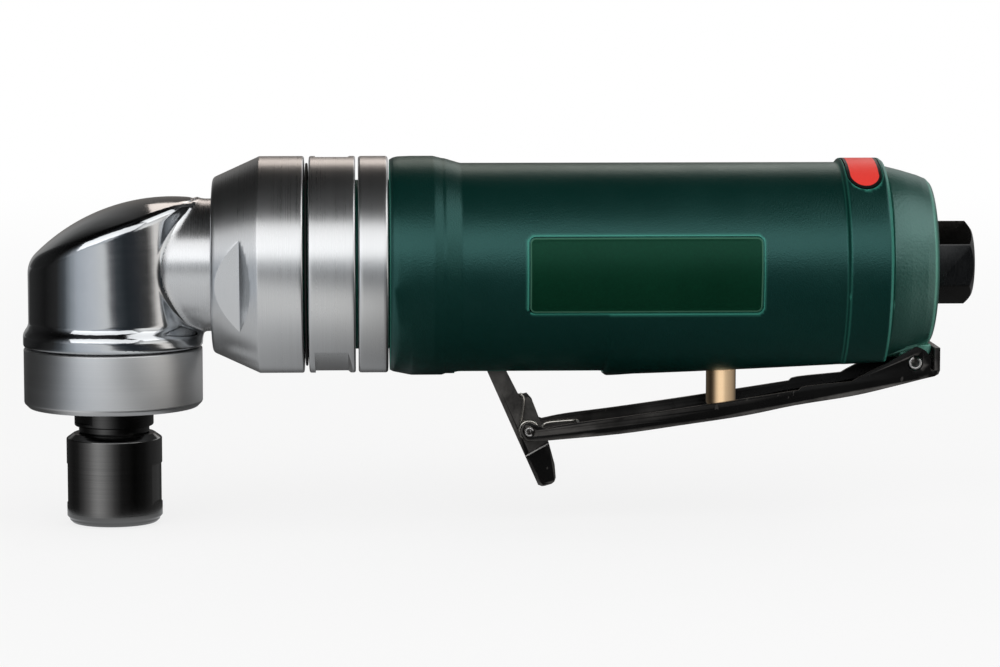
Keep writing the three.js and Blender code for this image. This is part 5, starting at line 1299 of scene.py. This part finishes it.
valve = {"x": housing["valve"], "radius": 3.3, "low": -31.5, "top": -6.3}
stem = turned("valveStem", [(0, valve["low"]), (valve["radius"], valve["low"], 1.0),
                            (valve["radius"], valve["top"], 0.2), (0, valve["top"])],
              aboutZ(valve["x"]), 96)
finished(stem, "valve_stem", "valve_group", "brassTurned")
bush = turned("valveBushing", [(3.6, -17.4), (5.1, -17.4), (5.1, -20.05, 0.2), (6.0, -20.05, 0.2),
                               (6.0, -6, 0.2), (3.6, -6, 0.2)], aboutZ(valve["x"]), 64)
finished(bush, "valve_bushing", "housing", "brassTurned")
stemRing = washer("valveSeal", 3.6, 4.8, -19.3, -18.1, 0.4, 0.4, aboutZ(valve["x"]), 64)
finished(stemRing, "valve_o_ring", "housing", "rubber")

valveSpring = {"radius": 3.9, "wire": 0.45, "turns": 6, "steps": 30, "lift": 4.37}
s = valveSpring
springLow, springHigh = (inTool(corner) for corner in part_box("valve_spring"))
springTurns = [k / s["steps"] for k in range(s["turns"] * s["steps"] + 1)]
springRise = (springHigh.z - springLow.z - 2 * s["wire"]) / s["turns"]
springCentre = (springLow + springHigh) / 2
valveCoil = wire("valveSpring", [(springCentre.x + s["radius"] * math.cos(circle * t),
                                  springCentre.y + s["radius"] * math.sin(circle * t),
                                  springLow.z + s["wire"] + springRise * t) for t in springTurns],
                 s["wire"], 12)
finished(valveCoil, "valve_spring", "housing", "wireSteel")
# the place of its top, and a mesh of its own
tuple(spot((springCentre.x, springCentre.y, springHigh.z)))
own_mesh(valveCoil)
print("exhaust cap, inlet and valve made")


# levers of folded sheet on rolled pins
lever = {
    "pivot": exhaust["pivot"], "reach": 84.43, "drop": 14.77, "half": 9.484, "sheet": 1.2,
    "earRadius": 3.45, "frontRadius": 1.95, "heelX": 180.7, "heelTop": -17.96,
    "slotRear": 9.0, "pinHole": 1.7, "lockHole": 1.3,
    "bottomShares": [(-0.047, 0.2), (0.053, 0.344), (0.162, 0.487), (0.312, 0.623), (0.444, 0.774),
                     (0.61, 0.913), (0.766, 1.036), (0.95, 1.128)],
    "topShares": [(0.957, 0.955), (0.895, 0.885), (0.766, 0.792), (0.61, 0.668), (0.44, 0.522),
                  (0.302, 0.402), (0.281, 0.342), (0.164, 0.276), (0.143, 0.207), (0.08, 0.023)]}


def leverPoint(shares):
    return (lever["pivot"][0] - shares[0] * lever["reach"],
            lever["pivot"][1] - shares[1] * lever["drop"])


lockPin = leverPoint((1, 1))


def smoothOutline(points, between=4):
    return [tuple(p[:2]) for p in smoothPath([(*p, 0) for p in points], between)]


bottomLine = smoothOutline([leverPoint(p) for p in lever["bottomShares"]])
topLine = [leverPoint(p) for p in lever["topShares"]]
topLine = smoothOutline(topLine[:6]) + smoothOutline(topLine[5:8], 3)[1:] + smoothOutline(
    topLine[7:], 3)[1:]
ear = arc(*lever["pivot"], lever["earRadius"], 90, -20, 14)
front = arc(*lockPin, lever["frontRadius"], 80, 270, 16)
heelFoot = bottomLine[0]
# the walls' outline, from the ear forward along the top, round the front and back along the web
wall = topLine[::-1] + front + bottomLine[::-1] + ear[::-1]


def offsetLine(points, distance):
    out = []
    for i, p in enumerate(points):
        a, b = points[max(i - 1, 0)], points[min(i + 1, len(points) - 1)]
        along = Vector((b[0] - a[0], b[1] - a[1])).normalized()
        out.append((p[0] + along.y * distance, p[1] - along.x * distance))
    return out


webLine = [(lever["heelX"], lever["heelTop"]), (lever["heelX"], heelFoot[1] + 1.3),
           (lever["heelX"] - 0.35, heelFoot[1] + 0.45), (lever["heelX"] - 1.2, heelFoot[1])]
webLine += [p for p in bottomLine if p[0] < lever["heelX"] - 2]
webLine = [p for p in webLine if p[0] > lockPin[0] + lever["slotRear"]]
webInner = offsetLine(webLine, lever["sheet"])
leverPiece = slab("throttleLever", webLine + webInner[::-1], -lever["half"], lever["half"])
joined(leverPiece, *slabPair("wall", wall, lever["half"], lever["half"] - lever["sheet"]))
cutAway(leverPiece, *[
    rod(name, radius, -throughAll, throughAll, aboutY(*at), 32) for name, radius, at in (
        ("pivotHole", lever["pinHole"], lever["pivot"]), ("lockHole", lever["lockHole"], lockPin))])
bevelled(leverPiece, 0.22, limit=45, angle=40)
finished(leverPiece, "throttle_lever", "throttle_group", "leverBlack")

lock = {
    "tilt": 23.95, "inset": 3.05, "half": 4.6, "sheet": 1.0, "arm": 15.6, "tip": 13.2,
    "depth": 6.4, "hole": 1.3,
    "armShares": [(1, 0.56), (0.856, 0.586), (0.445, 0.64), (0.42, 0.78), (0.408, 0.92),
                  (0.31, 1), (0, 0.96)],
    "tipShares": [(0.34, 0.93), (0.72, 0.81), (0.93, 0.66), (0.985, 0.56), (1, 0.44), (0.985, 0.2),
                  (0.97, 0.1), (0.92, 0)], "crease": (0.385, 0.345), "creaseWidth": 0.3,
    "creaseDepths": (0.02, 0.91), "creaseRise": 0.12}


def lockPoint(along, depth):
    tilt, back = math.radians(lock["tilt"]), depth - lock["inset"]
    return (lockPin[0] - along * math.sin(tilt) + back * math.cos(tilt),
            lockPin[1] + along * math.cos(tilt) + back * math.sin(tilt))


behind = [lockPoint(u * lock["arm"], v * lock["depth"]) for u, v in lock["armShares"]]
below = [lockPoint(-u * lock["tip"], v * lock["depth"]) for u, v in lock["tipShares"]]
lockWall = [lockPoint(lock["arm"], 0)] + behind + below
lockWeb = [lockPoint(lock["arm"], 0), lockPoint(lock["arm"], lock["sheet"]),
           lockPoint(-0.97 * lock["tip"], lock["sheet"]), lockPoint(-0.92 * lock["tip"], 0)]
lockTip = [lockPoint(-0.92 * lock["tip"] + lock["sheet"], 0)] + below[2:]
lockPiece = slab("lockLever", lockWeb, -lock["half"], lock["half"])
lockParts = [slab("tipFace", lockTip, -lock["half"], lock["half"]),
             *slabPair("side", lockWall, lock["half"], lock["half"] - lock["sheet"])]
# raised fold across the tip's sides
near, far = ((-share * lock["tip"], v * lock["depth"])
             for share, v in zip(lock["crease"], lock["creaseDepths"]))
crease = [lockPoint(*near), lockPoint(*far), lockPoint(far[0] - lock["creaseWidth"], far[1]),
          lockPoint(near[0] - lock["creaseWidth"], near[1])]
creaseParts = slabPair("crease", crease, lock["half"] - 0.3, lock["half"] + lock["creaseRise"])
joined(lockPiece, *lockParts)
cutAway(lockPiece, rod("lockBore", lock["hole"], -throughAll, throughAll, aboutY(*lockPin), 32))
bevelled(lockPiece, 0.2, limit=45, angle=40)
joined(lockPiece, *creaseParts)
finished(lockPiece, "lock_lever", "lock_group", ["leverBlack", "foldBright"])
for face in lockPiece.data.polygons:
    beyond = abs(inTool(lockPiece.data.vertices[face.vertices[0]].co).y) - lock["half"]
    face.material_index = int(beyond > 0.5 * lock["creaseRise"])


# pins of sheet rolled round, each with a slit along it
for name, at, radius, sheet, half, slit, node, body in (
        ("leverPin", lever["pivot"], 1.4, 0.45, lever["half"] + 0.15, 110, "lever_pin", "housing"),
        ("lockPin", lockPin, 1.0, 0.35, lever["half"] + 0.3, 20, "lock_pin", "throttle_group")):
    end = slit + 295
    pin = slab(name, arc(*at, radius, slit, end, 48) + arc(*at, radius - sheet, end, slit, 48),
               -half, half)
    finished(bevelled(pin, 0.1, 2, limit=45), node, body, "pinSteel")

spring = {"wire": 0.3, "radius": 2.05, "turns": 2, "over": 110, "pitch": 1.06, "armLeg": 8.0,
          "leverLeg": 10.6, "rise": 2.35, "hook": 1.9,
          "armShares": [(1, 0.9), (0.82, 0.52), (0.23, 0.78)],
          "leverShares": [(0.19, -0.55), (0.27, 0.35), (0.36, 0.74), (0.6, 0.88), (0.95, 0.98)]}


def springPath():
    s = spring
    side = lock["half"] + gap + s["wire"]
    sweep = s["turns"] + s["over"] / 360
    outside = side + s["pitch"] * sweep

    def at(x, y, z):
        return (lockPin[0] + x, -y, lockPin[1] + z)

    points = [at(-ahead * s["radius"], side, up * s["armLeg"]) for up, ahead in s["armShares"]]
    steps = round(sweep * 16)
    for i in range(steps + 1):
        run = sweep * i / steps
        angle = math.pi + circle * run
        points.append(at(s["radius"] * math.cos(angle), side + s["pitch"] * run,
                         s["radius"] * math.sin(angle)))
    points += [at(out * s["leverLeg"], outside, up * s["rise"]) for out, up in s["leverShares"]]
    points.append(at(s["leverLeg"], outside + s["hook"], s["rise"]))
    return smoothPath(points, 3)


springPiece = wire("lockSpring", springPath(), spring["wire"], 20)
finished(springPiece, "lock_spring", "throttle_group", "wireSteel")
print("levers, pins and spring made")
